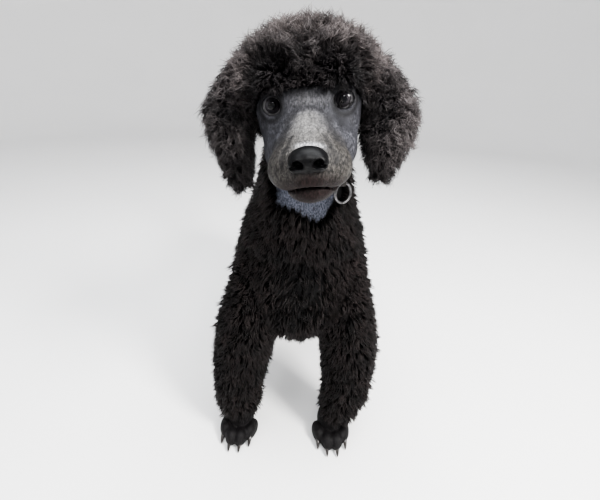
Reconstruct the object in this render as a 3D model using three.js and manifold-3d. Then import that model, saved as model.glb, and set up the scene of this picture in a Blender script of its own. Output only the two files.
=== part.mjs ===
// A young standard poodle, standing square on four feet and looking up ahead.
// Millimetres, +Z up. The dog faces -Y and its own left side is +X.
// The origin is on the floor, midway along the body's bounding box.
import * as THREE from "three";
import { mergeVertices } from "three/addons/utils/BufferGeometryUtils.js";
import Module from "manifold-3d";

const wasm = await Module();
wasm.setup();

// Driving dimensions of the body, floor at zero
const EYE_LEVEL = 462;
const EYES_AHEAD = -60;
const HEAD_ROLL = THREE.MathUtils.degToRad(-7.5);
const HEAD_TURN = THREE.MathUtils.degToRad(-1.4);
const HEAD_ASIDE = 0.9;
const WITHERS = 405;
const BRISKET = 164;
const CHEST_AT = -8;
const RUMP_AT = 380;
const HOCK_LEVEL = 160;
const CUFF_LEVEL = 36;
const FRONT_PAW_AT = 27;
const HIND_PAW_AT = 338;
const POMPON_CUT = 444;
const GAP = 0.3;

// Cells beside the body that hold the legs
const FRONT_CELL = { inner: 19, top: 232, back: 94 };
const THIGH_CELL = { inner: 12, top: 304, front: 262 };
const FAR_ASIDE = 400;
const FAR_AHEAD = -200;
const FAR_BEHIND = 600;
const FAR_BELOW = -50;

// Depths of the coat, skin to tip
const BODY_COAT = 24;
const LEG_COAT = 22;
const NECK_COAT = 22;
const EAR_COAT = 20;
const TOPKNOT_COAT = 40;
const POMPON_COAT = 26;

// Share of the coat's depth from the tips down to the core
const CORE_DEPTH = 0.6;
const EAR_CORE_DEPTH = 0.5;

// A clump's shoulder: its share of the rim's half width, and its depth as a share of the coat's
const SHOULDER_SHARE = 0.7;
const SHOULDER_DEPTH = 0.16;
const HUB_DEPTH = 0.95;

// Room left round an ear in the coat of the neck
const EAR_CLEARANCE = GAP + 2.5;

// The shaved throat, and the level where the ears hide the neck
const THROAT = { low: 352, wide: 30, back: 4 };
const EAR_BASE = 436;

// Clumps on the front of the chest: rings of so many, so far across and up
const CHEST_FRONT = { at: 1, up: 262, rings: [[3, 15, 18], [8, 38, 46]], depth: 15, front: -9, wide: 17 };

// Driving dimensions of the head, from the point midway between the eyes
const EYE_SPACING = 54;
const EYE_RADIUS = 10.5;
const EYE_DEPTH = 4.5;
const LID_THICKNESS = 2.3;
const EYE_OPENING = { aside: 26.3, up: 0.8, wide: 7.4, high: 6.8 };
const NOSE_AT = new THREE.Vector3(0, -79, -25);
const NOSE_RADII = [12, 9, 8];
const NOSTRIL_ASIDE = 5.6;
const MOUTH_FRONT = new THREE.Vector3(0, -80, -43.5);
const MOUTH_SLOPE = new THREE.Vector3(0, 0.17, 1).normalize();
const MOUTH_TOP = 0.6;
const MOUTH_BOTTOM = -1;
const JAW_CLEARANCE = 1.2;
const LIP_RADIUS = 2.6;
const HAIRLINE = 11;
const HAIRLINE_AT = -5;
const HAIR_PART_FALL = 0.45;

// The collar high on the neck, lower at the throat and at the dog's left, and its ring
const COLLAR_WIDE = 7;
const COLLAR_THICK = 2.4;
const COLLAR_HALF = [42, 44];
const COLLAR_TILT = 0.2;
const COLLAR_SAG = 0.25;
const COLLAR_SEAT = 14;
const RING_RADIUS = 9.6;
const RING_WIRE = 1.4;
const RING_TURN = 0.62;
const RING_LEAN = 0.1;
const TAB_SIZE = [6, 18, 5.4];

// A foot: the length, height and claw of its toes, and each toe's place and half width
const TOE_LENGTH = 17;
const TOE_HEIGHT = 12;
const TOE_SPLAY = -0.012;
const CLAW_RADIUS = 3;
const CLAW_LENGTH = 15;
const CLAW_DROP = 0.62;
const TOES = [[-18, -8, 9.4], [-6.6, -19, 10], [6.6, -19, 10], [18, -8, 9.4]];

const SIDES_BODY = 12;
const SIDES_HEAD = 16;
const SIDES_LEG = 9;
const CLUMP_SIDES = 5;

const materials = {
  coat: () => new THREE.MeshStandardMaterial({ color: 0x14110f, roughness: 0.92, metalness: 0 }),
  face: () => new THREE.MeshStandardMaterial({ color: 0x38363a, roughness: 0.7, metalness: 0 }),
  nose: () => new THREE.MeshStandardMaterial({ color: 0x17161a, roughness: 0.35, metalness: 0 }),
  eye: () => new THREE.MeshStandardMaterial({ color: 0x0d0806, roughness: 0.06, metalness: 0 }),
  paw: () => new THREE.MeshStandardMaterial({ color: 0x1b191a, roughness: 0.75, metalness: 0 }),
  band: () => new THREE.MeshStandardMaterial({ color: 0x2a2522, roughness: 0.6, metalness: 0 }),
  metal: () => new THREE.MeshStandardMaterial({ color: 0xc4c2c0, roughness: 0.22, metalness: 1 }),
};

// A seeded random draw, so that the coat is the same each time
let seed = 20417;
function draw() {
  seed = (seed * 1664525 + 1013904223) % 4294967296;
  return seed / 4294967296;
}
const spread = (low, high) => low + (high - low) * draw();

// Closed geometry to solid and back
function solid(geometry) {
  const bare = geometry.clone();
  bare.deleteAttribute("normal");
  bare.deleteAttribute("uv");
  const merged = mergeVertices(bare, 1e-4);
  const vertProperties = new Float32Array(merged.attributes.position.array);
  const triVerts = new Uint32Array(merged.index.array);
  return new wasm.Manifold(new wasm.Mesh({ numProp: 3, vertProperties, triVerts }));
}

function largest(shape) {
  const bodies = shape.decompose();
  return bodies.reduce((best, body) => (body.volume() > best.volume() ? body : best));
}

function geometryOf(shape) {
  const mesh = largest(shape).getMesh();
  const geometry = new THREE.BufferGeometry();
  geometry.setAttribute("position", new THREE.BufferAttribute(new Float32Array(mesh.vertProperties), 3));
  geometry.setIndex(new THREE.BufferAttribute(new Uint32Array(mesh.triVerts), 1));
  geometry.computeVertexNormals();
  return geometry;
}

function node(name, shape, material) {
  const mesh = new THREE.Mesh(geometryOf(shape), material());
  mesh.name = name;
  return mesh;
}

const unite = (shapes) => wasm.Manifold.union(shapes);
const above = (shape, level) => shape.trimByPlane([0, 0, 1], level);
const below = (shape, level) => shape.trimByPlane([0, 0, -1], -level);
const keepSide = (shape, normal, point) => shape.trimByPlane(normal.toArray(), normal.dot(point));

// Curve through a table's rows, one value for each column, at t from 0 to 1
function between(rows, t) {
  const place = t * (rows.length - 1);
  const row = Math.min(rows.length - 2, Math.floor(place));
  const f = place - row;
  const [a, b] = [rows[Math.max(0, row - 1)], rows[row]];
  const [c, d] = [rows[row + 1], rows[Math.min(rows.length - 1, row + 2)]];
  return b.map((value, k) => {
    const [before, after] = [(c[k] - a[k]) / 2, (d[k] - value) / 2];
    const bend = 3 * (c[k] - value) - 2 * before - after;
    const turn = 2 * (value - c[k]) + before + after;
    return value + f * (before + f * (bend + f * turn));
  });
}

// A rounded form along Y or Z. Each row holds its place along the axis, the section's
// centre across (x) and its other centre, its half width, and its reach to the plus
// and minus side of that centre.
function makeForm(axis, rows) {
  const first = rows[0][0];
  const last = rows[rows.length - 1][0];
  const middle = (first + last) / 2;
  const half = Math.abs(last - first) / 2;
  const spot = (t, angle, inset = 0) => {
    const [along, x, centre, wide, plus, minus] = between(rows, t);
    const reach = Math.sin(angle) > 0 ? plus : minus;
    const across = x + Math.max(wide - inset, 0.4) * Math.cos(angle);
    const other = centre + Math.max(reach - inset, 0.4) * Math.sin(angle);
    const at = middle + (along - middle) * (1 - inset / half);
    return axis === "y" ? new THREE.Vector3(across, at, other) : new THREE.Vector3(across, other, at);
  };
  const holds = (point, inset = 0) => {
    const along = axis === "y" ? point.y : point.z;
    const other = axis === "y" ? point.z : point.y;
    const way = Math.sign(last - first);
    if ((along - first) * way <= 0 || (last - along) * way <= 0) return false;
    let [low, high] = [0, 1];
    for (let step = 0; step < 20; step += 1) {
      const t = (low + high) / 2;
      if ((between(rows, t)[0] - along) * way < 0) low = t;
      else high = t;
    }
    const [, x, centre, wide, plus, minus] = between(rows, low);
    const reach = other > centre ? plus : minus;
    if (wide <= inset || reach <= inset) return false;
    return ((point.x - x) / (wide - inset)) ** 2 + ((other - centre) / (reach - inset)) ** 2 < 1;
  };
  const girth = (t) => {
    const [, , , wide, plus, minus] = between(rows, t);
    return Math.PI * (wide + (plus + minus) / 2);
  };
  return { spot, holds, girth, length: 2 * half };
}

// The closed faceted surface of a form
function skin(form, rings, sides, inset = 0) {
  const points = [];
  for (let ring = 0; ring < rings; ring += 1) {
    for (let side = 0; side < sides; side += 1) {
      points.push(form.spot(ring / (rings - 1), (2 * Math.PI * side) / sides, inset));
    }
  }
  const faces = [];
  for (let ring = 0; ring < rings - 1; ring += 1) {
    for (let side = 0; side < sides; side += 1) {
      const a = ring * sides + side;
      const b = ring * sides + ((side + 1) % sides);
      faces.push(a, b, a + sides, b, b + sides, a + sides);
    }
  }
  const ends = [[0, true], [(rings - 1) * sides, false]];
  for (const [start, flip] of ends) {
    const hub = new THREE.Vector3();
    for (let side = 0; side < sides; side += 1) hub.add(points[start + side]);
    points.push(hub.divideScalar(sides));
    for (let side = 0; side < sides; side += 1) {
      const a = start + side;
      const b = start + ((side + 1) % sides);
      faces.push(points.length - 1, flip ? b : a, flip ? a : b);
    }
  }
  return closed(points, faces);
}

// A solid from points and faces, turned so that its faces point out
function closed(points, faces) {
  let volume = 0;
  for (let k = 0; k < faces.length; k += 3) {
    const [a, b, c] = [points[faces[k]], points[faces[k + 1]], points[faces[k + 2]]];
    volume += a.dot(b.clone().cross(c));
  }
  const turned = [];
  for (let k = 0; k < faces.length; k += 3) {
    if (volume > 0) turned.push(faces[k], faces[k + 1], faces[k + 2]);
    else turned.push(faces[k], faces[k + 2], faces[k + 1]);
  }
  const geometry = new THREE.BufferGeometry();
  const position = new Float32Array(points.flatMap((point) => point.toArray()));
  geometry.setAttribute("position", new THREE.BufferAttribute(position, 3));
  geometry.setIndex(turned);
  return solid(geometry);
}

function ball(centre, radii, across = 12, down = 8, turn = null) {
  const geometry = new THREE.SphereGeometry(1, across, down);
  geometry.scale(...radii);
  if (turn) geometry.applyMatrix4(turn);
  geometry.translate(...centre);
  return solid(geometry);
}

// One rounded clump of curls from a root on the core to its tip. It swells over the
// root, rounds in towards the tip, and its tip hangs over along the lie of the coat.
function clump(root, tip, wide, lie) {
  const outward = tip.clone().sub(root);
  const high = outward.length();
  const sunk = high * 0.5;
  const profile = [[0, -sunk], [1, high * 0.1], [0.76, high * 0.68], [0, high]];
  const lathe = new THREE.LatheGeometry(
    profile.map(([across, up]) => new THREE.Vector2(across * wide, up)), CLUMP_SIDES, draw() * Math.PI);
  const stand = new THREE.Quaternion().setFromUnitVectors(
    new THREE.Vector3(0, 1, 0), outward.normalize());
  const position = lathe.attributes.position;
  for (let k = 0; k < position.count; k += 1) {
    const vertex = new THREE.Vector3().fromBufferAttribute(position, k);
    const lean = Math.max(0, vertex.y / high) ** 1.5;
    vertex.applyQuaternion(stand).addScaledVector(lie, lean).add(root);
    position.setXYZ(k, vertex.x, vertex.y, vertex.z);
  }
  return solid(lathe);
}

// One clump that follows the curve of a form: its rim lies just under the core, its
// shoulder rounds in and its tip reaches the outside of the coat
function cushion(form, t, angle, wide, coat, lie) {
  const turn = draw() * Math.PI;
  const placed = (share, depth) => Array.from({ length: CLUMP_SIDES }, (_, side) => {
    const way = turn + (2 * Math.PI * side) / CLUMP_SIDES;
    const along = Math.min(0.999, Math.max(0.001, t + (share * wide * Math.cos(way)) / form.length));
    const around = (2 * Math.PI * share * wide * Math.sin(way)) / form.girth(t);
    return form.spot(along, angle + around, coat * depth);
  });
  const rim = placed(1, CORE_DEPTH + 0.07);
  const shoulder = placed(SHOULDER_SHARE, SHOULDER_DEPTH).map((point) => point.addScaledVector(lie, 0.6));
  const tip = form.spot(t, angle, coat * spread(-0.05, 0.07)).add(lie);
  const hub = form.spot(t, angle, coat * HUB_DEPTH);
  const faces = [];
  for (let side = 0; side < CLUMP_SIDES; side += 1) {
    const next = (side + 1) % CLUMP_SIDES;
    const [a, b, c, d] = [side, next, CLUMP_SIDES + side, CLUMP_SIDES + next];
    faces.push(a, b, c, b, d, c, c, d, 2 * CLUMP_SIDES, b, a, 2 * CLUMP_SIDES + 1);
  }
  return closed([...rim, ...shoulder, tip, hub], faces);
}

// Rows of clumps over a form, between two places along it
function coatOver(form, options) {
  const { coat, spacing, from = 0, to = 1, lie, skip = () => false } = options;
  const clumps = [];
  const rows = Math.max(1, Math.round(((to - from) * form.length) / spacing));
  for (let row = 0; row < rows; row += 1) {
    const middle = from + ((to - from) * (row + 0.5)) / rows;
    const count = Math.max(3, Math.round(form.girth(middle) / spacing));
    for (let place = 0; place < count; place += 1) {
      const t = Math.min(0.99, Math.max(0.01, middle + spread(-0.1, 0.1) / rows));
      const angle = (2 * Math.PI * (place + 0.5 * (row % 2) + spread(-0.14, 0.14))) / count;
      const root = form.spot(t, angle, coat * CORE_DEPTH);
      const tip = form.spot(t, angle, 0);
      const wide = spacing * spread(0.54, 0.6);
      if (skip(root, tip)) continue;
      clumps.push(cushion(form, t, angle, wide, coat, lie.clone().multiplyScalar(coat)));
    }
  }
  return clumps;
}

// Clumps spread evenly over an ellipsoid, standing out from it
function coatRound(centre, radii, options) {
  const { coat, count, lie, skip = () => false } = options;
  const golden = Math.PI * (3 - Math.sqrt(5));
  const inner = radii.map((radius) => radius - coat * CORE_DEPTH);
  const girth = (radii[0] + radii[1] + radii[2]) / 3;
  const wide = Math.sqrt((4 * Math.PI * girth ** 2) / count) * 0.48;
  const clumps = [];
  for (let k = 0; k < count; k += 1) {
    const up = 1 - (2 * (k + 0.5)) / count;
    const flat = Math.sqrt(1 - up * up);
    const way = new THREE.Vector3(flat * Math.cos(k * golden), flat * Math.sin(k * golden), up);
    const root = way.clone().multiply(new THREE.Vector3(...inner)).add(centre);
    const reach = new THREE.Vector3(...radii).multiplyScalar(spread(0.97, 1.03));
    const tip = way.clone().multiply(reach).add(centre);
    if (!skip(tip)) clumps.push(clump(root, tip, wide * spread(0.94, 1.06), lie));
  }
  return clumps;
}

const mirrored = (rows) => rows.map(([at, x, ...rest]) => [at, -x, ...rest]);

// The trunk from the front of the chest to the rump, out to the tips of the coat
const trunkRows = [
  [CHEST_AT, 1, 260, 16, 22, 22],
  [CHEST_AT + 8, 1, 260, 50, 60, 66],
  [30, 1, 264, 75, 104, 98],
  [65, 1, 256, 80, WITHERS - 263, 96],
  [110, 0, 264, 80, WITHERS - 264, 264 - BRISKET],
  [165, 0, 270, 79, WITHERS - 274, 94],
  [220, 0, 280, 78, WITHERS - 286, 86],
  [275, 0, 292, 78, WITHERS - 299, 76],
  [325, 0, 304, 74, WITHERS - 314, 66],
  [RUMP_AT - 20, 0, 318, 58, 58, 54],
  [RUMP_AT, 0, 322, 18, 20, 20],
];
const trunk = makeForm("y", trunkRows);

// The neck, rising from the shoulders to under the skull
const neckRows = [
  [270, 1, 48, 60, 50, 50],
  [300, 2, 46, 73, 62, 57],
  [330, 2, 41, 64, 66, 56],
  [360, 3, 34, 57, 64, 55],
  [390, 3, 26, 50, 60, 52],
  [420, 2, 18, 45, 56, 46],
  [446, 1, 12, 42, 50, 38],
  [458, 1, 10, 34, 40, 30],
];
const neck = makeForm("z", neckRows);

// Front legs, coat out to the tips. The feet stand a little to the dog's right.
const frontLeftRows = [
  [338, 36, 56, 10, 14, 14],
  [318, 40, 54, 30, 34, 32],
  [285, 48, 50, 36, 42, 38],
  [250, 54, 46, 38, 45, 42],
  [222, 60, 43, 40, 45, 43],
  [195, 65, 41, 41, 44, 43],
  [160, 71, 39, 40, 42, 41],
  [125, 72, 37, 39, 40, 39],
  [92, 72, 35, 38, 37, 36],
  [62, 70, 33, 36, 34, 34],
  [42, 66, 31, 33, 31, 30],
  [18, 60, 29, 24, 23, 23],
];
const frontRightRows = [
  [338, -34, 56, 10, 14, 14],
  [318, -38, 54, 30, 34, 32],
  [285, -46, 50, 36, 42, 38],
  [250, -52, 46, 38, 45, 42],
  [222, -58, 43, 41, 45, 43],
  [195, -63, 41, 42, 44, 43],
  [160, -70, 39, 41, 42, 41],
  [125, -75, 37, 39, 40, 39],
  [92, -78, 35, 37, 37, 36],
  [62, -79, 33, 35, 33, 33],
  [42, -79, 31, 32, 30, 29],
  [18, -78, 29, 24, 23, 23],
];

// Hind legs: a broad thigh, the bent hock, an upright shank and its cuff
const thighRows = [
  [345, 36, 322, 34, 32, 40],
  [315, 42, 322, 44, 50, 56],
  [275, 47, 322, 46, 55, 60],
  [235, 51, 324, 44, 52, 56],
  [195, 54, 328, 40, 46, 46],
  [160, 56, 338, 36, 42, 40],
  [130, 57, 344, 30, 34, 34],
];
const shankRows = [
  [205, 54, 326, 34, 38, 38],
  [175, 55, 333, 37, 42, 40],
  [147, 57, 341, 36, 40, 38],
  [118, 58, 349, 35, 38, 36],
  [90, 59, 351, 34, 34, 34],
  [62, 60, 349, 32, 31, 32],
  [42, 60, 346, 29, 28, 29],
  [18, 60, 345, 23, 22, 24],
];

const legs = {
  front_left: makeForm("z", frontLeftRows),
  front_right: makeForm("z", frontRightRows),
  thigh_left: makeForm("z", thighRows),
  thigh_right: makeForm("z", mirrored(thighRows)),
  shank_left: makeForm("z", shankRows),
  shank_right: makeForm("z", mirrored(shankRows)),
};

// The slanted cut that parts the neck from the trunk
const NECK_CUT = {
  point: new THREE.Vector3(0, CHEST_AT, 306),
  normal: new THREE.Vector3(0, -0.58, 0.81).normalize(),
};

function block(low, high) {
  const size = high.map((value, k) => value - low[k]);
  const geometry = new THREE.BoxGeometry(...size);
  geometry.translate(...low.map((value, k) => (value + high[k]) / 2));
  return solid(geometry);
}

// The space of one leg beside the body, drawn in by half the gap or let out by it
function frontCell(side, ease) {
  const [low, high] = [FRONT_CELL.inner - ease, FAR_ASIDE].map((x) => x * side).sort((a, b) => a - b);
  return block([low, FAR_AHEAD, FAR_BELOW], [high, FRONT_CELL.back + ease, FRONT_CELL.top + ease]);
}

function hindCell(side, ease) {
  const [low, high] = [THIGH_CELL.inner - ease, FAR_ASIDE].map((x) => x * side).sort((a, b) => a - b);
  return block([low, THIGH_CELL.front - ease, FAR_BELOW], [high, FAR_BEHIND, THIGH_CELL.top + ease]);
}

// Head, in its own frame, midway between the eyes: x to its left, y back, z up
const skullRows = [
  [78, 0, -2, 8, 8, 8],
  [71, 0, -4, 25, 24, 22],
  [54, 0, -4, 36, 38, 38],
  [30, 0, -6, 40, 43, 42],
  [8, 0, -8, 40, 41, 42],
  [-8, 0, -14, 36, 33, 36],
  [-20, 0, -24, 29, 26, 27],
  [-32, 0, -28, 25.5, 23, 23],
  [-48, 0, -30, 25, 20, 20],
  [-62, 0, -31, 24, 17, 17.5],
  [-74, 0, -31, 20, 14, 15],
  [-82, 0, -31, 11, 9, 11],
  [-84, 0, -31, 4, 4, 4],
];
const skull = makeForm("y", skullRows);
const jawRows = [
  [6, 0, -50, 14, 8, 12],
  [-8, 0, -52, 20, 8, 14],
  [-26, 0, -52, 20, 8, 11],
  [-46, 0, -50, 18, 8, 9],
  [-62, 0, -48, 15.5, 8, 8.5],
  [-72, 0, -47, 11.5, 7, 7],
  [-77, 0, -46.5, 5, 4, 4],
];
const jaw = makeForm("y", jawRows);

// The dog's right ear hangs a little closer and narrower than its left
const earLeftRows = [
  [24, 48, 28, 14, 20, 18],
  [12, 56, 27, 20, 28, 26],
  [-2, 62, 25, 24, 33, 31],
  [-18, 65, 22, 24.5, 35, 34],
  [-34, 63, 20, 23, 34, 34],
  [-48, 60.5, 19, 20, 29, 30],
  [-62, 58, 19, 14, 20, 22],
  [-74, 57, 20, 6.5, 9, 10],
  [-79, 56, 20, 2.5, 3, 3],
];
const earRightRows = [
  [28, -50, 28, 15, 20, 18],
  [16, -58, 27, 21, 28, 26],
  [2, -64, 25, 23.5, 33, 31],
  [-16, -66, 22, 22, 35, 34],
  [-34, -65.5, 20, 19, 33, 33],
  [-50, -64.5, 19, 16, 28, 29],
  [-63, -64, 19, 11.5, 20, 21],
  [-72, -64, 20, 6, 9, 10],
  [-77, -64, 20, 2.5, 3, 3],
];
const ears = { left: makeForm("z", earLeftRows), right: makeForm("z", earRightRows) };
const topknotCentre = new THREE.Vector3(-1, 35, -1);
const topknotRadii = [75, 66, 66];

const headFrame = new THREE.Matrix4()
  .makeTranslation(HEAD_ASIDE, EYES_AHEAD, EYE_LEVEL)
  .multiply(new THREE.Matrix4().makeRotationY(HEAD_ROLL))
  .multiply(new THREE.Matrix4().makeRotationZ(HEAD_TURN));
const placedOnBody = (shape) => shape.transform(headFrame.elements);

const eyeCentre = (side) => new THREE.Vector3((side * EYE_SPACING) / 2, EYE_DEPTH, 0);
const lidRadius = EYE_RADIUS + LID_THICKNESS;
const lids = (ease = 0) => [1, -1].map((side) =>
  ball(eyeCentre(side), [lidRadius + ease, lidRadius + ease, lidRadius + ease], 8, 6));

// The shaved head without the hair: skull, brows, lips, cheeks and lids
function headBulk(ease = 0) {
  const bulges = [1, -1].flatMap((side) => [
    ball([side * 20, 2, 17], [13 + ease, 15 + ease, 9 + ease], 8, 5),
    ball([side * 15, -60, -35], [12 + ease, 17 + ease, 11.5 + ease], 8, 5),
    ball([side * 22, -14, -31], [12.5 + ease, 25 + ease, 15 + ease], 8, 5),
  ]);
  return unite([skin(skull, 14, SIDES_HEAD, -ease), ...bulges, ...lids(ease)]);
}

// The nearly round opening between the lids, cut in from the front
function eyeOpening(side) {
  const outline = new THREE.Shape();
  outline.absellipse(0, 0, EYE_OPENING.wide, EYE_OPENING.high, 0, Math.PI * 2);
  const geometry = new THREE.ExtrudeGeometry(outline, {
    depth: 30, bevelEnabled: false, curveSegments: 6, steps: 1,
  });
  geometry.rotateX(Math.PI / 2);
  geometry.translate(side * EYE_OPENING.aside, EYE_DEPTH, EYE_OPENING.up);
  return solid(geometry);
}

function nose(ease = 0) {
  const leather = ball(NOSE_AT, NOSE_RADII.map((radius) => radius + ease), 10, 6);
  const philtrum = ball(
    [0, NOSE_AT.y - 1, NOSE_AT.z - 9], [4 + ease, 5.5 + ease, 8 + ease], 6, 4);
  return unite([leather, philtrum]);
}

function nostril(side) {
  const turn = new THREE.Matrix4().makeRotationY(side * 0.5);
  return ball([side * NOSTRIL_ASIDE, NOSE_AT.y - 8, NOSE_AT.z - 0.5], [2.4, 5, 3.4], 6, 4, turn);
}

// The lower lip, a soft roll round the front of the jaw
function lowerLip() {
  const rim = [-1, -0.86, -0.6, 0, 0.6, 0.86, 1].map((across) => {
    const back = Math.sqrt(1 - across * across);
    return new THREE.Vector3(across * 15.5, -36 - 38 * back, -48.2 + 3 * back);
  });
  const section = new THREE.Shape();
  section.absarc(0, 0, LIP_RADIUS, 0, Math.PI * 2);
  const path = new THREE.CatmullRomCurve3(rim);
  return solid(new THREE.ExtrudeGeometry(section, {
    steps: 10, curveSegments: 3, extrudePath: path, bevelEnabled: false,
  }));
}

const eyeballs = {};
for (const [name, side] of [["left", 1], ["right", -1]]) {
  eyeballs[name] = ball(eyeCentre(side), Array(3).fill(EYE_RADIUS), 10, 7);
}
const sockets = [1, -1].flatMap((side) => [
  ball(eyeCentre(side), Array(3).fill(EYE_RADIUS + GAP), 10, 7),
  eyeOpening(side),
]);

// The mouth's cut: the head ends above it and the jaw below it
const underMouth = (shape, shift) => shape.trimByPlane(
  MOUTH_SLOPE.clone().negate().toArray(),
  -MOUTH_SLOPE.dot(MOUTH_FRONT.clone().addScaledVector(MOUTH_SLOPE, shift)));
const jawRoom = underMouth(skin(jaw, 9, 12, -JAW_CLEARANCE).add(lowerLip()), MOUTH_TOP);
const head = headBulk().subtract(unite([...sockets, nose(GAP), jawRoom]));
const headClear = headBulk(GAP);
const jawSolid = underMouth(skin(jaw, 9, 12).add(lowerLip()), MOUTH_BOTTOM);
const noseSolid = nose().subtract(unite([nostril(1), nostril(-1), jawSolid]));

// Hair parting: topknot above it, ears, cheeks and neck below it
const partNormal = new THREE.Vector3(0, HAIR_PART_FALL, 1).normalize();
const partPoint = new THREE.Vector3(0, HAIRLINE_AT, HAIRLINE);
function overPart(shape) {
  const level = above(shape, HAIRLINE).trimByPlane([0, -1, 0], -(HAIRLINE_AT + 2));
  return level.add(keepSide(shape, partNormal, partPoint));
}
const underPart = (shape) =>
  keepSide(shape, partNormal.clone().negate(), partPoint.clone().addScaledVector(partNormal, -GAP));

const topknotCore = ball(
  topknotCentre, topknotRadii.map((radius) => radius - TOPKNOT_COAT * CORE_DEPTH), 8, 5);
const topknotClumps = coatRound(topknotCentre, topknotRadii, {
  coat: TOPKNOT_COAT,
  count: 24,
  lie: new THREE.Vector3(0, 0, -3),
  skip: (tip) => partNormal.dot(tip.clone().sub(partPoint)) < -14,
});
const topknot = overPart(unite([topknotCore, ...topknotClumps])).subtract(headClear);

// Each ear is a flap of leather with its coat, hollowed on the side of the cheek
function ear(name, side) {
  const form = ears[name];
  const clumps = coatOver(form, {
    coat: EAR_COAT,
    spacing: 32,
    from: 0.1,
    to: 0.97,
    lie: new THREE.Vector3(side * 0.05, 0, -0.1),
  });
  const core = skin(form, 8, 10, EAR_COAT * EAR_CORE_DEPTH);
  const cup = ball([side * 38, 20, -30], [10, 17, 30], 10, 6);
  return underPart(unite([core, ...clumps])).subtract(unite([headClear, cup]));
}
const earSolids = { left: ear("left", 1), right: ear("right", -1) };
const earClear = (name) => placedOnBody(skin(ears[name], 12, 14, -EAR_CLEARANCE));

// The tail stands up from the rump: a shaved stem and a round pompon
const tailRows = [
  [368, 0, 336, 15, 15, 15],
  [395, 0, 344, 13, 13, 13],
  [420, 1, 350, 11.5, 11.5, 11.5],
  [450, 2, 354, 10, 10, 10],
];
const tail = makeForm("z", tailRows);
const pomponCentre = new THREE.Vector3(2, 358, 474);
const pomponRadii = [36, 36, 37];
const tailSolid = below(skin(tail, 8, 12), POMPON_CUT - GAP);
const pompon = above(unite([
  ball(pomponCentre, pomponRadii.map((radius) => radius - POMPON_COAT * CORE_DEPTH), 7, 5),
  ...coatRound(pomponCentre, pomponRadii, {
    coat: POMPON_COAT, count: 10, lie: new THREE.Vector3(0, 0, 1),
  }),
]), POMPON_CUT);

// The collar lies in the coat, and the neck has a firm seat inside its loop
const collarPlace = new THREE.Matrix4().makeTranslation(2, 25, 403)
  .multiply(new THREE.Matrix4().makeRotationX(COLLAR_TILT))
  .multiply(new THREE.Matrix4().makeRotationY(COLLAR_SAG));
function collarDisc(inset, high) {
  const outline = new THREE.Shape();
  outline.absellipse(0, 0, COLLAR_HALF[0] - inset, COLLAR_HALF[1] - inset, 0, Math.PI * 2);
  const geometry = new THREE.ExtrudeGeometry(outline, {
    depth: high, bevelEnabled: false, curveSegments: 9, steps: 1,
  });
  geometry.translate(0, 0, -high / 2);
  geometry.applyMatrix4(collarPlace);
  return solid(geometry);
}
const collarSeat = collarDisc(COLLAR_THICK + GAP, COLLAR_SEAT);
const collarLoop = collarDisc(0, COLLAR_WIDE).subtract(collarDisc(COLLAR_THICK, COLLAR_SEAT));
const collarRoom = collarDisc(-FAR_ASIDE, COLLAR_WIDE + 2 * GAP).subtract(collarSeat);

// Everything under the coat's tips: forms that the clumps stand on
const coreForms = [
  [trunk, BODY_COAT, 10, SIDES_BODY],
  [neck, NECK_COAT, 7, 12],
  ...Object.values(legs).map((form) => [form, LEG_COAT, 7, SIDES_LEG]),
];
const buriedBy = (own) => (root, tip) =>
  coreForms.some(([form, coat]) => form !== own && form.holds(tip, coat * 0.2));

// The shaved throat, and the neck hidden by the head and ears
const underHead = (tip) => tip.z > EAR_BASE
  || (tip.z > THROAT.low && tip.y < THROAT.back && Math.abs(tip.x) < THROAT.wide);

// Clumps on the flat front of the chest, which the rows over the trunk leave bare
function chestFront() {
  const { at, up, rings, depth, front, wide } = CHEST_FRONT;
  return rings.flatMap(([count, across, high]) => Array.from({ length: count }, (_, place) => {
    const angle = (2 * Math.PI * (place + spread(0.4, 0.6))) / count;
    const [x, z] = [across * Math.cos(angle), high * Math.sin(angle)];
    const root = new THREE.Vector3(at + x, front + depth, up + z);
    const tip = new THREE.Vector3(at + x * 1.08, front, up + z * 1.08);
    return clump(root, tip, wide * spread(0.92, 1.08), new THREE.Vector3(0, 0, -4));
  }));
}

const bodyCoat = [
  ...coatOver(trunk, {
    coat: BODY_COAT, spacing: 80, from: 0.05, to: 0.97,
    lie: new THREE.Vector3(0, 0.16, -0.14), skip: buriedBy(trunk),
  }),
  ...coatOver(neck, {
    coat: NECK_COAT, spacing: 64, from: 0.2, to: 0.97,
    lie: new THREE.Vector3(0, 0.05, -0.2),
    skip: (root, tip) => buriedBy(neck)(root, tip) || underHead(tip),
  }),
  ...Object.values(legs).flatMap((form) => coatOver(form, {
    coat: LEG_COAT, spacing: 72, from: 0.1, to: 0.95,
    lie: new THREE.Vector3(0, 0, -0.2), skip: buriedBy(form),
  })),
  ...chestFront(),
];
const cores = coreForms.map(([form, coat, rings, sides]) => skin(form, rings, sides, coat * CORE_DEPTH));

// What the head, jaw, ears and tail take from it
const bodyClear = unite([
  placedOnBody(headClear),
  placedOnBody(skin(jaw, 12, 14, -GAP)),
  earClear("left"),
  earClear("right"),
  skin(tail, 8, 12, -GAP),
]);
const whole = above(unite([...cores, ...bodyCoat, collarSeat]).subtract(bodyClear), CUFF_LEVEL + GAP);
const underPartNormal = partNormal.clone().transformDirection(headFrame).negate();
const underPartPoint = partPoint.clone().addScaledVector(partNormal, -GAP).applyMatrix4(headFrame);

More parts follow.
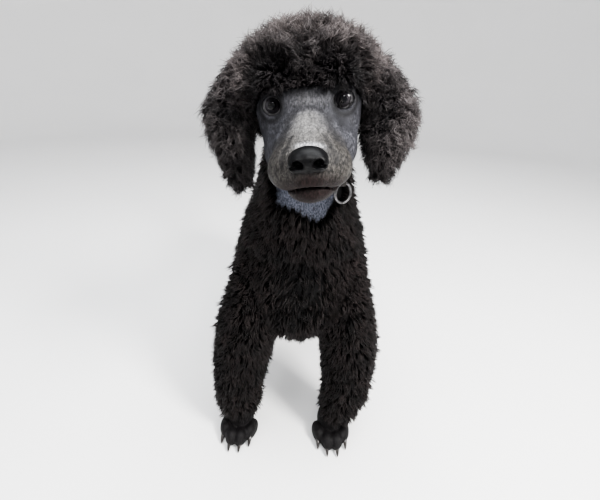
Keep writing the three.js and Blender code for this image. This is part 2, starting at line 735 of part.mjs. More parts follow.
const neckWhole = keepSide(
  keepSide(whole, NECK_CUT.normal, NECK_CUT.point), underPartNormal, underPartPoint);
const rest = keepSide(
  whole, NECK_CUT.normal.clone().negate(),
  NECK_CUT.point.clone().addScaledVector(NECK_CUT.normal, -GAP));
const cells = (ease) => [frontCell(1, ease), frontCell(-1, ease), hindCell(1, ease), hindCell(-1, ease)];
const torso = rest.subtract(unite(cells(GAP)));
const legPieces = {};
for (const [name, side] of [["left", 1], ["right", -1]]) {
  legPieces[`foreleg_${name}`] = rest.intersect(frontCell(side, 0));
  const hind = rest.intersect(hindCell(side, 0));
  legPieces[`thigh_${name}`] = above(hind, HOCK_LEVEL + GAP);
  legPieces[`shank_${name}`] = below(hind, HOCK_LEVEL);
}

// A foot: four knuckled toes with claws, the pads under them and the wrist above
function paw(centreX, centreY, turn) {
  const parts = [ball([0, 10, 19], [21, 25, 22], 8, 5)];
  for (const [x, y, radius] of TOES) {
    const splay = new THREE.Matrix4().makeRotationZ(x * TOE_SPLAY);
    parts.push(ball([x, y, 10.5], [radius, TOE_LENGTH, TOE_HEIGHT], 6, 4, splay));
    const claw = new THREE.ConeGeometry(CLAW_RADIUS, CLAW_LENGTH, 4, 1);
    claw.rotateX(Math.PI / 2 + CLAW_DROP);
    claw.translate(x * 1.1, y - TOE_LENGTH - 2.5, 7);
    parts.push(solid(claw));
  }
  const place = new THREE.Matrix4().makeTranslation(centreX, centreY, 0)
    .multiply(new THREE.Matrix4().makeRotationZ(turn));
  const foot = unite(parts).transform(place.elements);
  return below(above(foot, 0), CUFF_LEVEL);
}
const paws = {
  paw_front_left: paw(56, FRONT_PAW_AT, 0.04),
  paw_front_right: paw(-77, FRONT_PAW_AT, -0.08),
  paw_hind_left: paw(60, HIND_PAW_AT, 0.05),
  paw_hind_right: paw(-60, HIND_PAW_AT, -0.05),
};

// The ring stands upright in the coat below the collar at the dog's left, beside the jaw,
// and a short tab of the collar's band holds its top
const ringCentre = new THREE.Vector3(39, -9, 378.6);
const ringTurn = new THREE.Matrix4().makeRotationZ(RING_TURN);
function collarRing(ease = 0) {
  const ring = new THREE.TorusGeometry(RING_RADIUS, RING_WIRE + ease, 6, 14);
  ring.rotateX(Math.PI / 2 - RING_LEAN);
  ring.applyMatrix4(ringTurn);
  ring.translate(...ringCentre);
  return solid(ring);
}
const tabGeometry = new THREE.BoxGeometry(...TAB_SIZE);
tabGeometry.translate(ringCentre.x - 1, ringCentre.y + TAB_SIZE[1] / 2 - 2.5, ringCentre.z + RING_RADIUS);
const tab = solid(tabGeometry);
const ringReach = RING_RADIUS + RING_WIRE + GAP;
const ringRoom = ball(ringCentre, [ringReach, 4.4, ringReach], 10, 6, ringTurn);
const collar = collarLoop.add(tab).subtract(unite([bodyClear, collarSeat, collarRing(GAP)]));
const tabRoom = block(...tabCorners(GAP));
const neckSolid = neckWhole.subtract(unite([collarRoom, ringRoom, tabRoom]));

// The corners of the tab's box, let out by the gap
function tabCorners(ease) {
  tabGeometry.computeBoundingBox();
  const box = tabGeometry.boundingBox.clone().expandByScalar(ease);
  return [box.min.toArray(), box.max.toArray()];
}

const dog = new THREE.Group();
const headGroup = new THREE.Group();
headGroup.applyMatrix4(headFrame);
headGroup.add(
  node("head", head, materials.face),
  node("jaw", jawSolid, materials.face),
  node("nose", noseSolid, materials.nose),
  node("eye_left", eyeballs.left, materials.eye),
  node("eye_right", eyeballs.right, materials.eye),
  node("topknot", topknot, materials.coat),
  node("ear_left", earSolids.left, materials.coat),
  node("ear_right", earSolids.right, materials.coat),
);
dog.add(headGroup);
dog.add(
  node("neck", neckSolid, materials.coat),
  node("torso", torso, materials.coat),
  node("tail_stem", tailSolid, materials.paw),
  node("tail_pompon", pompon, materials.coat),
  node("collar", collar, materials.band),
  node("collar_ring", collarRing(), materials.metal),
);
for (const [name, shape] of Object.entries(legPieces)) dog.add(node(name, shape, materials.coat));
for (const [name, shape] of Object.entries(paws)) dog.add(node(name, shape, materials.paw));

// The origin comes to the floor, midway along and across the whole dog
const reach = new THREE.Box3().setFromObject(dog, true);
const midway = reach.getCenter(new THREE.Vector3());
dog.position.set(-midway.x, -midway.y, 0);

export default dog;
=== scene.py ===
import math

import bpy
import numpy as np
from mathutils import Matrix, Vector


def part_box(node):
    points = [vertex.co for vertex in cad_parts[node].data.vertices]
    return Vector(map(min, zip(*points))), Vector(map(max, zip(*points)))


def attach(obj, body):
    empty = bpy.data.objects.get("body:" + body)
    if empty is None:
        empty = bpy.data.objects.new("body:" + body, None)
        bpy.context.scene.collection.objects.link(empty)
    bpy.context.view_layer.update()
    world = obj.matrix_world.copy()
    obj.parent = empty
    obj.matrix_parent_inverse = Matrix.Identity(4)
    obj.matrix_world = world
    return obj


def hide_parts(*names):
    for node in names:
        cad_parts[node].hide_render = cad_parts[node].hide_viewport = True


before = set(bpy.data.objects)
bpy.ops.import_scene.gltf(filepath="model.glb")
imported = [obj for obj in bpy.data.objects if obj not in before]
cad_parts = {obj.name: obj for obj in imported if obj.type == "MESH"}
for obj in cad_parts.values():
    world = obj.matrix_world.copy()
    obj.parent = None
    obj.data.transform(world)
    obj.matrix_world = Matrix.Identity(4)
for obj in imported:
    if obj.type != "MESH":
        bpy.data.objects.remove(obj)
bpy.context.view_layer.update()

import openvdb
from mathutils import Matrix, Vector
from mathutils.kdtree import KDTree

MM = 0.001
GOLDEN = math.pi * (3 - math.sqrt(5))
SEED = 20417
rng = np.random.default_rng(SEED)

# The head's frame on the body, and the eyes in it
HEAD_AT = Vector((0.9, -60, 462))
HEAD_ROLL = math.radians(-7.5)
HEAD_TURN = math.radians(-1.4)
EYE_ASIDE = 27
EYE_DEPTH = 4.5
EYE_RADIUS = 10.5

# Depths of the coat, and the share of each between its tips and the skin shown here
BODY_COAT = 24
LEG_COAT = 22
NECK_COAT = 22
EAR_COAT = 20
TOPKNOT_COAT = 40
POMPON_COAT = 26
CORE_DEPTH = 0.6

head_to_body = (
    Matrix.Translation(HEAD_AT)
    @ Matrix.Rotation(HEAD_ROLL, 4, "Y")
    @ Matrix.Rotation(HEAD_TURN, 4, "Z")
)
HEAD_TURNED = np.array(head_to_body.to_3x3())
HEAD_PLACE = np.array(HEAD_AT)


def from_head(points):
    """Points of the head's frame in the body's frame."""
    return np.asarray(points, float) @ HEAD_TURNED.T + HEAD_PLACE


def to_head(points):
    """Points of the body's frame in the head's frame."""
    return (points - HEAD_PLACE) @ HEAD_TURNED


def middle(node):
    low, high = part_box(node)
    return (np.array(low) + np.array(high)) / 2


# The frame's origin is midway along the dog, so the eyes give the shift to it
SHIFT = (middle("eye_left") + middle("eye_right")) / (2 * MM) - from_head([0, EYE_DEPTH, 0])
SHIFT[2] = 0


# Forms
THINNEST = 0.4


def spread_evenly(index):
    """Two shares from 0 to 1 for each index, which together cover a square evenly."""
    return (index * 0.7548776662) % 1, (index * 0.5698402910) % 1


def through(rows, t):
    """A smooth curve through the rows of a table, at each t from 0 to 1."""
    rows = np.asarray(rows, float)
    place = np.clip(t, 0, 1) * (len(rows) - 1)
    row = np.minimum(len(rows) - 2, place.astype(int))
    f = (place - row)[:, None]
    a = rows[np.maximum(0, row - 1)]
    b = rows[row]
    c = rows[row + 1]
    d = rows[np.minimum(len(rows) - 1, row + 2)]
    before = (c - a) / 2
    after = (d - b) / 2
    bend = 3 * (c - b) - 2 * before - after
    turn = 2 * (b - c) + before + after
    return b + f * (before + f * (bend + f * turn))


class Form:
    """A rounded form along Y or Z. Each row holds a section's place on that axis, its centre
    in X and in the third axis, its half width, and its reach up and down the third axis."""

    def __init__(self, axis, rows):
        self.axis = axis
        self.t = np.linspace(0, 1, 200)
        self.table = through(rows, self.t)
        ends = self.table[[0, -1], 0]
        self.middle = ends.mean()
        self.half = abs(ends[1] - ends[0]) / 2
        self.way = np.sign(ends[1] - ends[0])
        aside = self.table[:, 1]
        wide = self.table[:, 3]
        low = self.table[:, 2] - self.table[:, 5]
        high = self.table[:, 2] + self.table[:, 4]
        span = [min(ends), max(ends)]
        other = [low.min(), high.max()]
        across = [(aside - wide).min(), (aside + wide).max()]
        self.box = np.array([across, span, other] if axis == "y" else [across, other, span]).T

    def distance(self, points, inset=0.0):
        """About how far each point is outside the form, once the form is drawn in by inset."""
        along = points[:, 1] if self.axis == "y" else points[:, 2]
        other = points[:, 2] if self.axis == "y" else points[:, 1]
        shrink = 1 - inset / self.half
        source = self.middle + (along - self.middle) / shrink
        rows = self.table[:, 0] * self.way
        x, centre, wide, plus, minus = [
            np.interp(source * self.way, rows, column) for column in self.table[:, 1:].T
        ]
        up = other - centre
        across = points[:, 0] - x
        reach = np.maximum(np.where(up > 0, plus, minus) - inset, THINNEST)
        wide = np.maximum(wide - inset, THINNEST)
        ratio = np.sqrt((across / wide) ** 2 + (up / reach) ** 2) + 1e-6
        slope = np.sqrt((across / wide**2) ** 2 + (up / reach**2) ** 2) / ratio
        flat = (ratio - 1) / np.maximum(slope, 1 / np.maximum(wide, reach))
        ends = np.abs(along - self.middle) - self.half * shrink
        return np.maximum(flat, ends)

    def spot(self, t, angle, inset):
        """Points of the surface, drawn in by inset."""
        row = np.stack([np.interp(t, self.t, self.table[:, k]) for k in range(6)], axis=1)
        along, x, centre, wide, plus, minus = row.T
        reach = np.where(np.sin(angle) > 0, plus, minus)
        across = x + np.maximum(wide - inset, THINNEST) * np.cos(angle)
        other = centre + np.maximum(reach - inset, THINNEST) * np.sin(angle)
        at = self.middle + (along - self.middle) * (1 - inset / self.half)
        return np.stack([across, at, other] if self.axis == "y" else [across, other, at], axis=1)

    def scatter(self, count):
        """Evenly spread places (t, angle) over the form."""
        girth = self.table[:, 3] + (self.table[:, 4] + self.table[:, 5]) / 2
        step = np.abs(np.gradient(self.table[:, 0]))
        total = np.cumsum(girth * step)
        first, second = spread_evenly(np.arange(count) + 0.5)
        t = np.interp(first * total[-1], total, self.t)
        jitter = rng.normal(0, 0.004, (2, count))
        return np.clip(t + jitter[0], 0, 1), 2 * np.pi * (second + jitter[1])


def mirrored(rows):
    return [(at, -x, *rest) for at, x, *rest in rows]


trunk = Form("y", [
    (-8, 1, 260, 16, 22, 24), (0, 1, 260, 50, 60, 72), (30, 1, 264, 75, 104, 105),
    (65, 1, 256, 80, 142, 100), (110, 0, 264, 80, 141, 100), (165, 0, 270, 79, 131, 94),
    (220, 0, 280, 78, 119, 86), (275, 0, 292, 78, 106, 76), (325, 0, 304, 74, 91, 66),
    (360, 0, 318, 58, 58, 54), (380, 0, 322, 18, 20, 20),
])
neck = Form("z", [
    (270, 1, 48, 60, 50, 50), (300, 2, 46, 73, 62, 57), (330, 2, 41, 64, 66, 56),
    (360, 3, 34, 57, 64, 55), (390, 3, 26, 50, 60, 52), (420, 2, 18, 45, 56, 46),
    (446, 1, 12, 42, 50, 38), (458, 1, 10, 34, 40, 30),
])
front_left = Form("z", [
    (338, 36, 56, 10, 14, 14), (318, 40, 54, 30, 34, 32), (285, 48, 50, 36, 42, 38),
    (250, 54, 46, 38, 45, 42), (222, 59, 43, 41, 45, 43), (195, 64, 41, 42, 44, 43),
    (160, 70, 39, 41, 42, 41), (125, 71, 37, 40, 40, 39), (92, 72, 35, 38, 37, 36),
    (62, 70, 33, 36, 34, 34), (42, 66, 31, 33, 31, 30), (18, 60, 29, 24, 23, 23),
])
front_right = Form("z", [
    (338, -34, 56, 10, 14, 14), (318, -38, 54, 30, 34, 32), (285, -46, 50, 36, 42, 38),
    (250, -51, 46, 39, 45, 42), (222, -56, 43, 43, 45, 43), (195, -60.5, 41, 44.5, 44, 43),
    (160, -67.5, 39, 43.5, 42, 41), (125, -72.5, 37, 41.5, 40, 39), (92, -76.5, 35, 38.5, 37, 36),
    (62, -77.5, 33, 36.5, 33, 33), (42, -77, 31, 34, 30, 29), (18, -78, 29, 24, 23, 23),
])
thigh_rows = [
    (345, 36, 322, 34, 32, 40), (315, 42, 322, 44, 50, 56), (275, 47, 322, 46, 55, 60),
    (235, 51, 324, 44, 52, 56), (195, 54, 328, 40, 46, 46), (160, 56, 338, 36, 42, 40),
    (130, 57, 344, 30, 34, 34),
]
shank_rows = [
    (205, 54, 326, 34, 38, 38), (175, 55, 333, 37, 42, 40), (147, 57, 341, 36, 40, 38),
    (118, 58, 349, 35, 38, 36), (90, 59, 351, 34, 34, 34), (62, 60, 349, 32, 31, 32),
    (42, 60, 346, 29, 28, 29), (18, 60, 345, 23, 22, 24),
]
legs = {
    "foreleg_left": front_left,
    "foreleg_right": front_right,
    "thigh_left": Form("z", thigh_rows),
    "thigh_right": Form("z", mirrored(thigh_rows)),
    "shank_left": Form("z", shank_rows),
    "shank_right": Form("z", mirrored(shank_rows)),
}
tail = Form("z", [
    (368, 0, 336, 15, 15, 15), (395, 0, 344, 13, 13, 13), (420, 1, 350, 11.5, 11.5, 11.5),
    (450, 2, 354, 10, 10, 10),
])
POMPON_AT = np.array([2, 358, 474])
POMPON_RADII = np.array([36, 36, 37])
PAWS = [(56, 27, 0.04), (-77, 27, -0.08), (60, 338, 0.05), (-60, 338, -0.05)]
TOES = [(-18, -8, 9.4), (-6.6, -19, 10), (6.6, -19, 10), (18, -8, 9.4)]

# Head, in its own frame, whose origin is midway between the eyes
skull = Form("y", [
    (78, 0, -2, 8, 8, 8), (71, 0, -4, 25, 24, 22), (54, 0, -4, 36, 38, 38),
    (30, 0, -6, 40, 43, 42), (8, 0, -8, 40, 41, 42), (-8, 0, -14, 36, 33, 36),
    (-20, 0, -24, 29, 26, 27), (-32, 0, -28, 25.5, 23, 23), (-48, 0, -30, 25, 20, 20),
    (-62, 0, -31, 24, 17, 17.5), (-74, 0, -31, 20, 14, 15), (-82, 0, -31, 11, 9, 11),
    (-84, 0, -31, 4, 4, 4),
])
jaw = Form("y", [
    (6, 0, -50, 14, 8, 12), (-8, 0, -52, 20, 8, 14), (-26, 0, -52, 20, 8, 11),
    (-46, 0, -50, 18, 8, 9), (-62, 0, -48, 15.5, 8, 8.5), (-72, 0, -47, 11.5, 7, 7),
    (-77, 0, -46.5, 5, 4, 4),
])
ears = {
    1: Form("z", [
        (40, 44, 29, 10, 16, 14), (28, 50, 29, 19, 26, 24), (12, 57, 27, 22, 30, 28),
        (-2, 62, 25, 24, 33, 31), (-18, 64.5, 22, 25, 35, 34), (-34, 62, 20, 23.5, 34, 34),
        (-48, 59.5, 19, 19.5, 29, 30), (-62, 57, 19, 13.5, 20, 22), (-74, 57, 20, 6.5, 9, 10),
        (-79, 56, 20, 2.5, 3, 3),
    ]),
    -1: Form("z", [
        (46, -43, 29, 10, 16, 14), (34, -50, 29, 19, 24, 22), (20, -58, 28, 21.5, 28, 26),
        (2, -64, 25, 23.5, 33, 31), (-16, -65.5, 22, 21, 35, 34), (-34, -64, 20, 17, 33, 33),
        (-50, -63, 19, 14.5, 28, 29), (-63, -63, 19, 11, 20, 21), (-72, -64, 20, 6, 9, 10),
        (-77, -64, 20, 2.5, 3, 3),
    ]),
}
TOPKNOT_AT = np.array([-1, 35, -1])
TOPKNOT_RADII = np.array([75, 66, 66])
NOSE_AT = np.array([0, -79, -25])
MOUTH_AT = np.array([0, -80, -43.5])
MOUTH_SLOPE = np.array([0, 0.17, 1]) / math.hypot(0.17, 1)
HAIRLINE = 11
HAIRLINE_AT = -5
HAIR_PART = np.array([0, 0.45, 1]) / math.hypot(0.45, 1)


# Distances and how they blend
def turned_back(x, y, z, turn):
    """Points as they were before a turn about Z."""
    c, s = math.cos(turn), math.sin(turn)
    return np.stack([c * x + s * y, -s * x + c * y, z], axis=1)


def ellipsoid(points, centre, radii, turn=0.0):
    """About how far each point is outside an ellipsoid turned about Z."""
    p = points - np.asarray(centre, float)
    if turn:
        p = turned_back(*p.T, turn)
    radii = np.asarray(radii, float)
    near = np.sqrt(((p / radii) ** 2).sum(1)) + 1e-6
    far = np.sqrt(((p / radii**2) ** 2).sum(1)) + 1e-6
    return near * (near - 1) / far


def rise(values, span):
    """0 up to zero, growing to 1 over a span, and 1 from there on."""
    return np.clip(values / span, 0, 1)


def join(a, b, soft):
    """The union of two distances, rounded where they meet."""
    h = np.clip(0.5 + 0.5 * (b - a) / soft, 0, 1)
    return b + (a - b) * h - soft * h * (1 - h)


def carve(a, b, soft):
    """The first distance with the second taken out of it."""
    return -join(-a, b, soft)


def route_gap(points, route):
    """The square of each point's distance from a route of straight runs."""
    nearest = np.full(len(points), 1e9)
    for start, end in zip(route[:-1], route[1:]):
        start = np.asarray(start, float)
        way = np.asarray(end, float) - start
        along = np.clip(((points - start) @ way) / (way @ way), 0, 1)
        gap = points - start - along[:, None] * way
        nearest = np.minimum(nearest, (gap**2).sum(1))
    return nearest


def stroke(points, route, width):
    """1 on a route of straight runs, fading to 0 away from it."""
    return np.exp(-route_gap(points, route) / (2 * width**2))


def over_part(points):
    """How far a point of the head's frame is above the parting of the topknot's hair."""
    plane = (points - np.array([0, HAIRLINE_AT, HAIRLINE])) @ HAIR_PART
    return np.where(points[:, 1] < HAIRLINE_AT, points[:, 2] - HAIRLINE, plane)


def eye_place(points, side):
    """Points seen from the eye's centre, across and up its opening and in front of it."""
    across = (points[:, 0] - side * EYE_ASIDE) * side
    return across, points[:, 1] - EYE_DEPTH, points[:, 2]


def both_sides(route):
    """A route on the dog's left, and its mirror image on the right."""
    return [[(side * x, y, z) for x, y, z in route] for side in (1, -1)]


# Furrows on both sides of the face, each with its depth and width as a groove, and the
# strength and width of its shadow: beside the bridge, over the muzzle, and below the eye
FURROWS = [
    ([(10, -22, -2), (14, -30, -8.5), (16.5, -45, -15), (19, -58, -20)], 0.9, 3.6, 0.55, 3.4),
    ([(10.7, -58.7, -15), (14.4, -71.9, -20.3), (15.9, -76.4, -24.9), (16.5, -77.6, -28.1)],
     0.6, 1.3, 0.6, 1.6),
    ([(17, -17, -2), (21, -20, -9), (24, -30, -17)], 0.5, 3.0, 0.4, 3.2),
    ([(18, -16, -8), (26, -15, -11), (34, -9, -9.5)], 0.6, 1.2, 0.75, 1.4),
]
STOP = [(-10.5, -22, -2), (0, -22.5, -0.5), (10.5, -22, -2)]
BROW_GROOVE = [(0, -10, 18), (0, -20, 5)]
PHILTRUM = [(0.5, -85, -34), (0.5, -83, -42)]
# Route of a painted highlight along the top edge of the nose leather
NOSE_EDGE_HIGHLIGHT = [(-5, -74, -16.5), (10, -75, -16.8)]

# Swellings on both sides of the head: centre, radii and how softly each joins it
SWELLINGS = {
    "brow": ((20, 2, 16), (13, 14, 9), 7),
    "flew": ((15, -60, -35), (12, 17, 11.5), 6),
    "cheek": ((22, -14, -31), (12.5, 25, 15), 7),
    "lids": ((EYE_ASIDE, EYE_DEPTH, 0), (12.4, 12.4, 12.4), 5),
}
LIP_RISE = 2.4
LIP_CURVE = 0.0165
LIP_CURVE_END = 15
LIP_ROLL = 2.6
MOUTH_GAP = 1.1
EYE_OPENING = (7.4, 6.8)
LID_CREASE = 10.9
NOSE_SEAT = (11.4, 8.4, 7.4)


def head_field(q):
    """The shaved head: skull, brows, lids, muzzle, lips, jaw and its folds."""
    d = skull.distance(q)
    for side in (1, -1):
        for (x, y, z), radii, soft in SWELLINGS.values():
            d = join(d, ellipsoid(q, (side * x, y, z), radii), soft)
    for route, depth, width, _, _ in FURROWS:
        for one in both_sides(route):
            d = d + depth * stroke(q, one, width)
    d = d + 0.5 * stroke(q, PHILTRUM, 0.8) + stroke(q, STOP, 2.4) + stroke(q, BROW_GROOVE, 4.0)
    # The jaw and the rolled lower lip, and the mouth's dark gap above them
    height = (q - MOUTH_AT) @ MOUTH_SLOPE
    under = join(jaw.distance(q), lower_lip(q), 2)
    lip_line = height - LIP_RISE + LIP_CURVE * np.minimum(np.abs(q[:, 0]), LIP_CURVE_END) ** 2
    upper = np.where(q[:, 1] < -30, carve(d, lip_line, 1.5), d)
    lower = carve(under, -(lip_line + MOUTH_GAP), 0.8)
    d = join(upper, lower, 0.8)
    # Eye openings and the fold round each
    for side in (1, -1):
        across, ahead, up = eye_place(q, side)
        wide, high = EYE_OPENING
        opening = (np.sqrt(((across + 0.7) / wide) ** 2 + ((up - 0.8) / high) ** 2) - 1) * 7
        d = carve(d, np.maximum(opening, ahead), 0.8)
        ring = np.sqrt(across**2 + (up * 1.04) ** 2)
        crease = np.exp(-(((ring - LID_CREASE) / 0.8) ** 2)) * (ahead < 0)
        d = d + 0.55 * crease * np.where(up > -2, 1.0, 0.5)
    return carve(d, ellipsoid(q, NOSE_AT, NOSE_SEAT), 1.0)


def lower_lip(q):
    """The lower lip, a soft roll round the front of the jaw."""
    across = np.linspace(-1, 1, 13)
    back = np.sqrt(1 - across**2)
    route = np.stack([across * 15.5, -36 - 38 * back, -48.2 + 3 * back], axis=1)
    return np.sqrt(route_gap(q, route)) - LIP_ROLL


def paw_field(p, centre_x, centre_y, turn):
    """A shaved foot: four knuckled toes, the pads and the wrist."""
    q = turned_back(p[:, 0] - centre_x, p[:, 1] - centre_y, p[:, 2], turn)
    d = ellipsoid(q, (0, 10, 19), (19, 24, 21))
    for toe_x, toe_y, radius in TOES:
        splay = toe_x * -0.012
        d = join(d, ellipsoid(q, (toe_x, toe_y, 10.5), (radius - 0.6, 17, 11.5), splay), 2.2)
        d = join(d, ellipsoid(q, (toe_x * 0.98, toe_y - 4, 15), (radius - 2.6, 8, 7.5), splay), 3)
    return d


def inside(points, box, margin):
    low, high = np.asarray(box, float)
    return np.all((points > low - margin) & (points < high + margin), axis=1)


FAR = 20.0
REACH = 9.0
HEAD_BOX = (np.array([-112.0, -150.0, 366.0]), np.array([112.0, 40.0, 536.0]))


def skin_field(p):
    """How far each point is outside the skin of the whole dog."""
    d = np.full(len(p), FAR)

    def add(shape, box, soft):
        near = inside(p, box, REACH)
        if near.any():
            d[near] = join(d[near], shape(p[near]), soft)

    add(lambda q: trunk.distance(q, BODY_COAT * CORE_DEPTH), trunk.box, 1)
    add(lambda q: neck.distance(q, NECK_COAT * CORE_DEPTH), neck.box, 12)
    for form in legs.values():
        add(lambda q: form.distance(q, LEG_COAT * CORE_DEPTH), form.box, 10)
    add(tail.distance, tail.box, 8)
    add(lambda q: ellipsoid(q, POMPON_AT, POMPON_RADII - POMPON_COAT * CORE_DEPTH),
        (POMPON_AT - 24, POMPON_AT + 24), 4)
    for centre_x, centre_y, turn in PAWS:
        box = ((centre_x - 36, centre_y - 48, 0), (centre_x + 36, centre_y + 44, 44))
        add(lambda q: paw_field(q, centre_x, centre_y, turn), box, 5)
    near = inside(p, HEAD_BOX, REACH)
    if near.any():
        q = to_head(p[near])
        head = head_field(q)
        core = ellipsoid(q, TOPKNOT_AT, TOPKNOT_RADII - TOPKNOT_COAT * CORE_DEPTH)
        head = join(head, carve(core, over_part(q), 1), 3)
        for side, form in ears.items():
            head = join(head, form.distance(q, EAR_COAT * CORE_DEPTH), 2)
        d[near] = join(d[near], head, 5)
    return np.maximum(d, -p[:, 2])


# Skin
def axis_steps(stretches):
    """Places along an axis, from stretches that each give a start, an end and a step."""
    return np.concatenate([np.arange(*stretch) for stretch in stretches])


SLAB = 6
BAND = 5.0


def graded_surface(field, xs, ys, zs):
    """The surface where a field is zero, on a grid of uneven steps, as points and quads."""
    values = np.empty((len(xs), len(ys), len(zs)), np.float32)
    flat_x, flat_y = np.meshgrid(xs, ys, indexing="ij")
    for start in range(0, len(zs), SLAB):
        part = zs[start:start + SLAB]
        px = np.repeat(flat_x.ravel(), len(part))
        py = np.repeat(flat_y.ravel(), len(part))
        pz = np.tile(part, flat_x.size)
        d = field(np.stack([px, py, pz], axis=1))
        values[:, :, start:start + SLAB] = d.reshape(len(xs), len(ys), len(part))
    grid = openvdb.FloatGrid(BAND)
    grid.copyFromArray(np.clip(values, -BAND, BAND))
    points, _, quads = grid.convertToPolygons(0.0, 0.0)
    placed = np.stack([
        np.interp(points[:, k], np.arange(len(steps)), steps) for k, steps in enumerate((xs, ys, zs))
    ], axis=1)
    return placed, quads


def slope_of(field, points, step=0.25):
    """The field at each point, the direction in which it grows and how steeply."""
    shifts = np.eye(3) * step
    sides = [field(points + shift) - field(points - shift) for shift in shifts]
    slope = np.stack(sides, axis=1) / (2 * step)
    length = np.linalg.norm(slope, axis=1, keepdims=True)
    return field(points), slope / np.maximum(length, 1e-6), length[:, 0]


def settle(field, points, rounds=2, limit=1.2):
    """Moves points onto the surface of the field."""
    for _ in range(rounds):
        d, way, steep = slope_of(field, points)
        move = np.clip(d / np.maximum(steep, 0.5), -limit, limit)
        points = points - way * move[:, None]
    return points


def smoothed(points, quads, rounds=2):
    """Points drawn half way to the middle of their neighbours."""
    edges = np.concatenate([quads[:, [0, 1]], quads[:, [1, 2]], quads[:, [2, 3]], quads[:, [3, 0]]])
    for _ in range(rounds):
        total = np.zeros_like(points)
        count = np.zeros(len(points))
        for a, b in ((0, 1), (1, 0)):
            for k in range(3):
                total[:, k] += np.bincount(edges[:, a], points[edges[:, b], k], len(points))
            count += np.bincount(edges[:, a], minlength=len(points))
        points = (points + total / count[:, None]) / 2
    return points


def mesh_object(name, points, faces, material, smooth=True):
    """A mesh object from points in millimetres of the design and faces of one size."""
    mesh = bpy.data.meshes.new(name)
    faces = np.asarray(faces, np.int32)
    corners = faces.shape[1]
    mesh.vertices.add(len(points))
    placed = ((np.asarray(points) + SHIFT) * MM).astype(np.float32)
    mesh.vertices.foreach_set("co", placed.ravel())
    mesh.loops.add(faces.size)
    mesh.loops.foreach_set("vertex_index", faces.ravel())
    mesh.polygons.add(len(faces))
    mesh.polygons.foreach_set("loop_start", np.arange(0, faces.size, corners, dtype=np.int32))
    mesh.polygons.foreach_set("use_smooth", np.full(len(faces), smooth))
    mesh.update(calc_edges=True)
    mesh.materials.append(material)
    piece = bpy.data.objects.new(name, mesh)
    bpy.context.scene.collection.objects.link(piece)
    return piece


def rows_of_quads(rows, sides, closed=False):
    """Quads between rows of points that go round, the last row meeting the first if closed."""
    faces = []
    for row in range(rows if closed else rows - 1):
        here = row * sides
        there = (row + 1) % rows * sides
        for side in range(sides):
            beside = (side + 1) % sides
            faces.append((here + side, there + side, there + beside, here + beside))
    return faces


def number_per_point(piece, name, values):
    attribute = piece.data.attributes.new(name, "FLOAT", "POINT")
    attribute.data.foreach_set("value", np.asarray(values, np.float32))


def skin_piece():
    xs = axis_steps([(-116, 118, 1.4)])
    ys = axis_steps([(-158, 58, 1.4), (58, 300, 4), (300, 392, 2.2)])
    zs = axis_steps([(-1.5, 46, 1.5), (46, 346, 4), (346, 536, 1.4)])
    points, quads = graded_surface(skin_field, xs, ys, zs)
    points = smoothed(points, quads, 1)
    points = settle(skin_field, points)
    skin = mesh_object("skin", points, quads, skin_material())
    mark_skin(skin, points)
    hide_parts("head", "jaw", "neck", "torso", "tail_stem", "tail_pompon", "topknot",
                "ear_left", "ear_right", *legs,
                "paw_front_left", "paw_front_right", "paw_hind_left", "paw_hind_right")
    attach(skin, "root")
    return skin, points


def mark_skin(piece, places):
    """The markings of the shaved skin, with its painted shade and painted highlight, as numbers on each
    point from its place on the dog.
    """
    q = to_head(places)
    head = (places[:, 2] > 380) & (q[:, 1] < 30)
    ahead = -q[:, 1]
    aside = np.abs(q[:, 0])
    bridge = 0.9 * np.exp(-(q[:, 0] / 11.5) ** 2) * rise(ahead - 20, 14)
    bridge = bridge * rise(q[:, 2] + 30, 10) * (1 - 0.4 * rise(ahead - 50, 18))
    forehead = np.exp(-(q[:, 0] / 13) ** 2) * rise(q[:, 2] + 2, 3)
    bridge = np.maximum(bridge, 0.17 * forehead * rise(10 - q[:, 2], 5))
    height = (q - MOUTH_AT) @ MOUTH_SLOPE
    lip_top = 15 - 0.35 * np.minimum(aside, 22)
    lips = rise(lip_top - height, 7) * rise(ahead - 26, 12)
    shadow = np.maximum(0.5 * stroke(q, STOP, 3.2), 0.9 * stroke(q, PHILTRUM, 0.9))
    for route, _, _, most, width in FURROWS:
        for one in both_sides(route):
            shadow = np.maximum(shadow, most * stroke(q, one, width))
    brow = 0.8 * rise(q[:, 2] - 4, 8)
    lid_rim = 0.9 * np.exp(-((np.hypot(aside - EYE_ASIDE, q[:, 2]) - 8.6) / 2.2) ** 2) * (ahead < 24)
    shadow = np.maximum(np.maximum(shadow, brow), lid_rim)
    number_per_point(piece, "bridge", bridge * head)
    number_per_point(piece, "pads", rise(ahead - 36, 24) * head)
    number_per_point(piece, "lips", lips * head)
    # A painted highlight along the top edge of the nose leather
    number_per_point(piece, "painted_highlight", stroke(q, NOSE_EDGE_HIGHLIGHT, 1.7))
    number_per_point(piece, "shadow", shadow * head)
    number_per_point(piece, "throat", throat_bare(places, 2.5))
    number_per_point(piece, "hairy", coated(places, q))
    stem = (places[:, 1] > 300) & (places[:, 2] > 380)
    number_per_point(piece, "foot", np.maximum(rise(60 - places[:, 2], 10), stem))


# The lower edge of the shaved throat, which runs lower on the dog's left
THROAT_ACROSS = [-26, -7, 5, 18, 26, 32]
THROAT_LOW = [359, 358, 350, 345, 355, 372]


def throat_bare(points, soft):
    """1 on the shaved patch under the chin, and 0 off it."""
    ragged = 2.0 * np.sin(points[:, 0] * 0.9) + 1.4 * np.sin(points[:, 0] * 2.1 + 1)
    low = points[:, 2] - np.interp(points[:, 0], THROAT_ACROSS, THROAT_LOW) + ragged
    aside = np.minimum(points[:, 0] - THROAT_ACROSS[0], THROAT_ACROSS[-1] - points[:, 0])
    aside = aside + 1.2 * np.sin(points[:, 2] * 0.8)
    front = 5 - points[:, 1]
    under_head = (413 - points[:, 2]) + (points[:, 1] + 50) * 0.5
    return np.clip(np.min([low, aside, front, under_head], axis=0) / soft + 0.5, 0, 1)


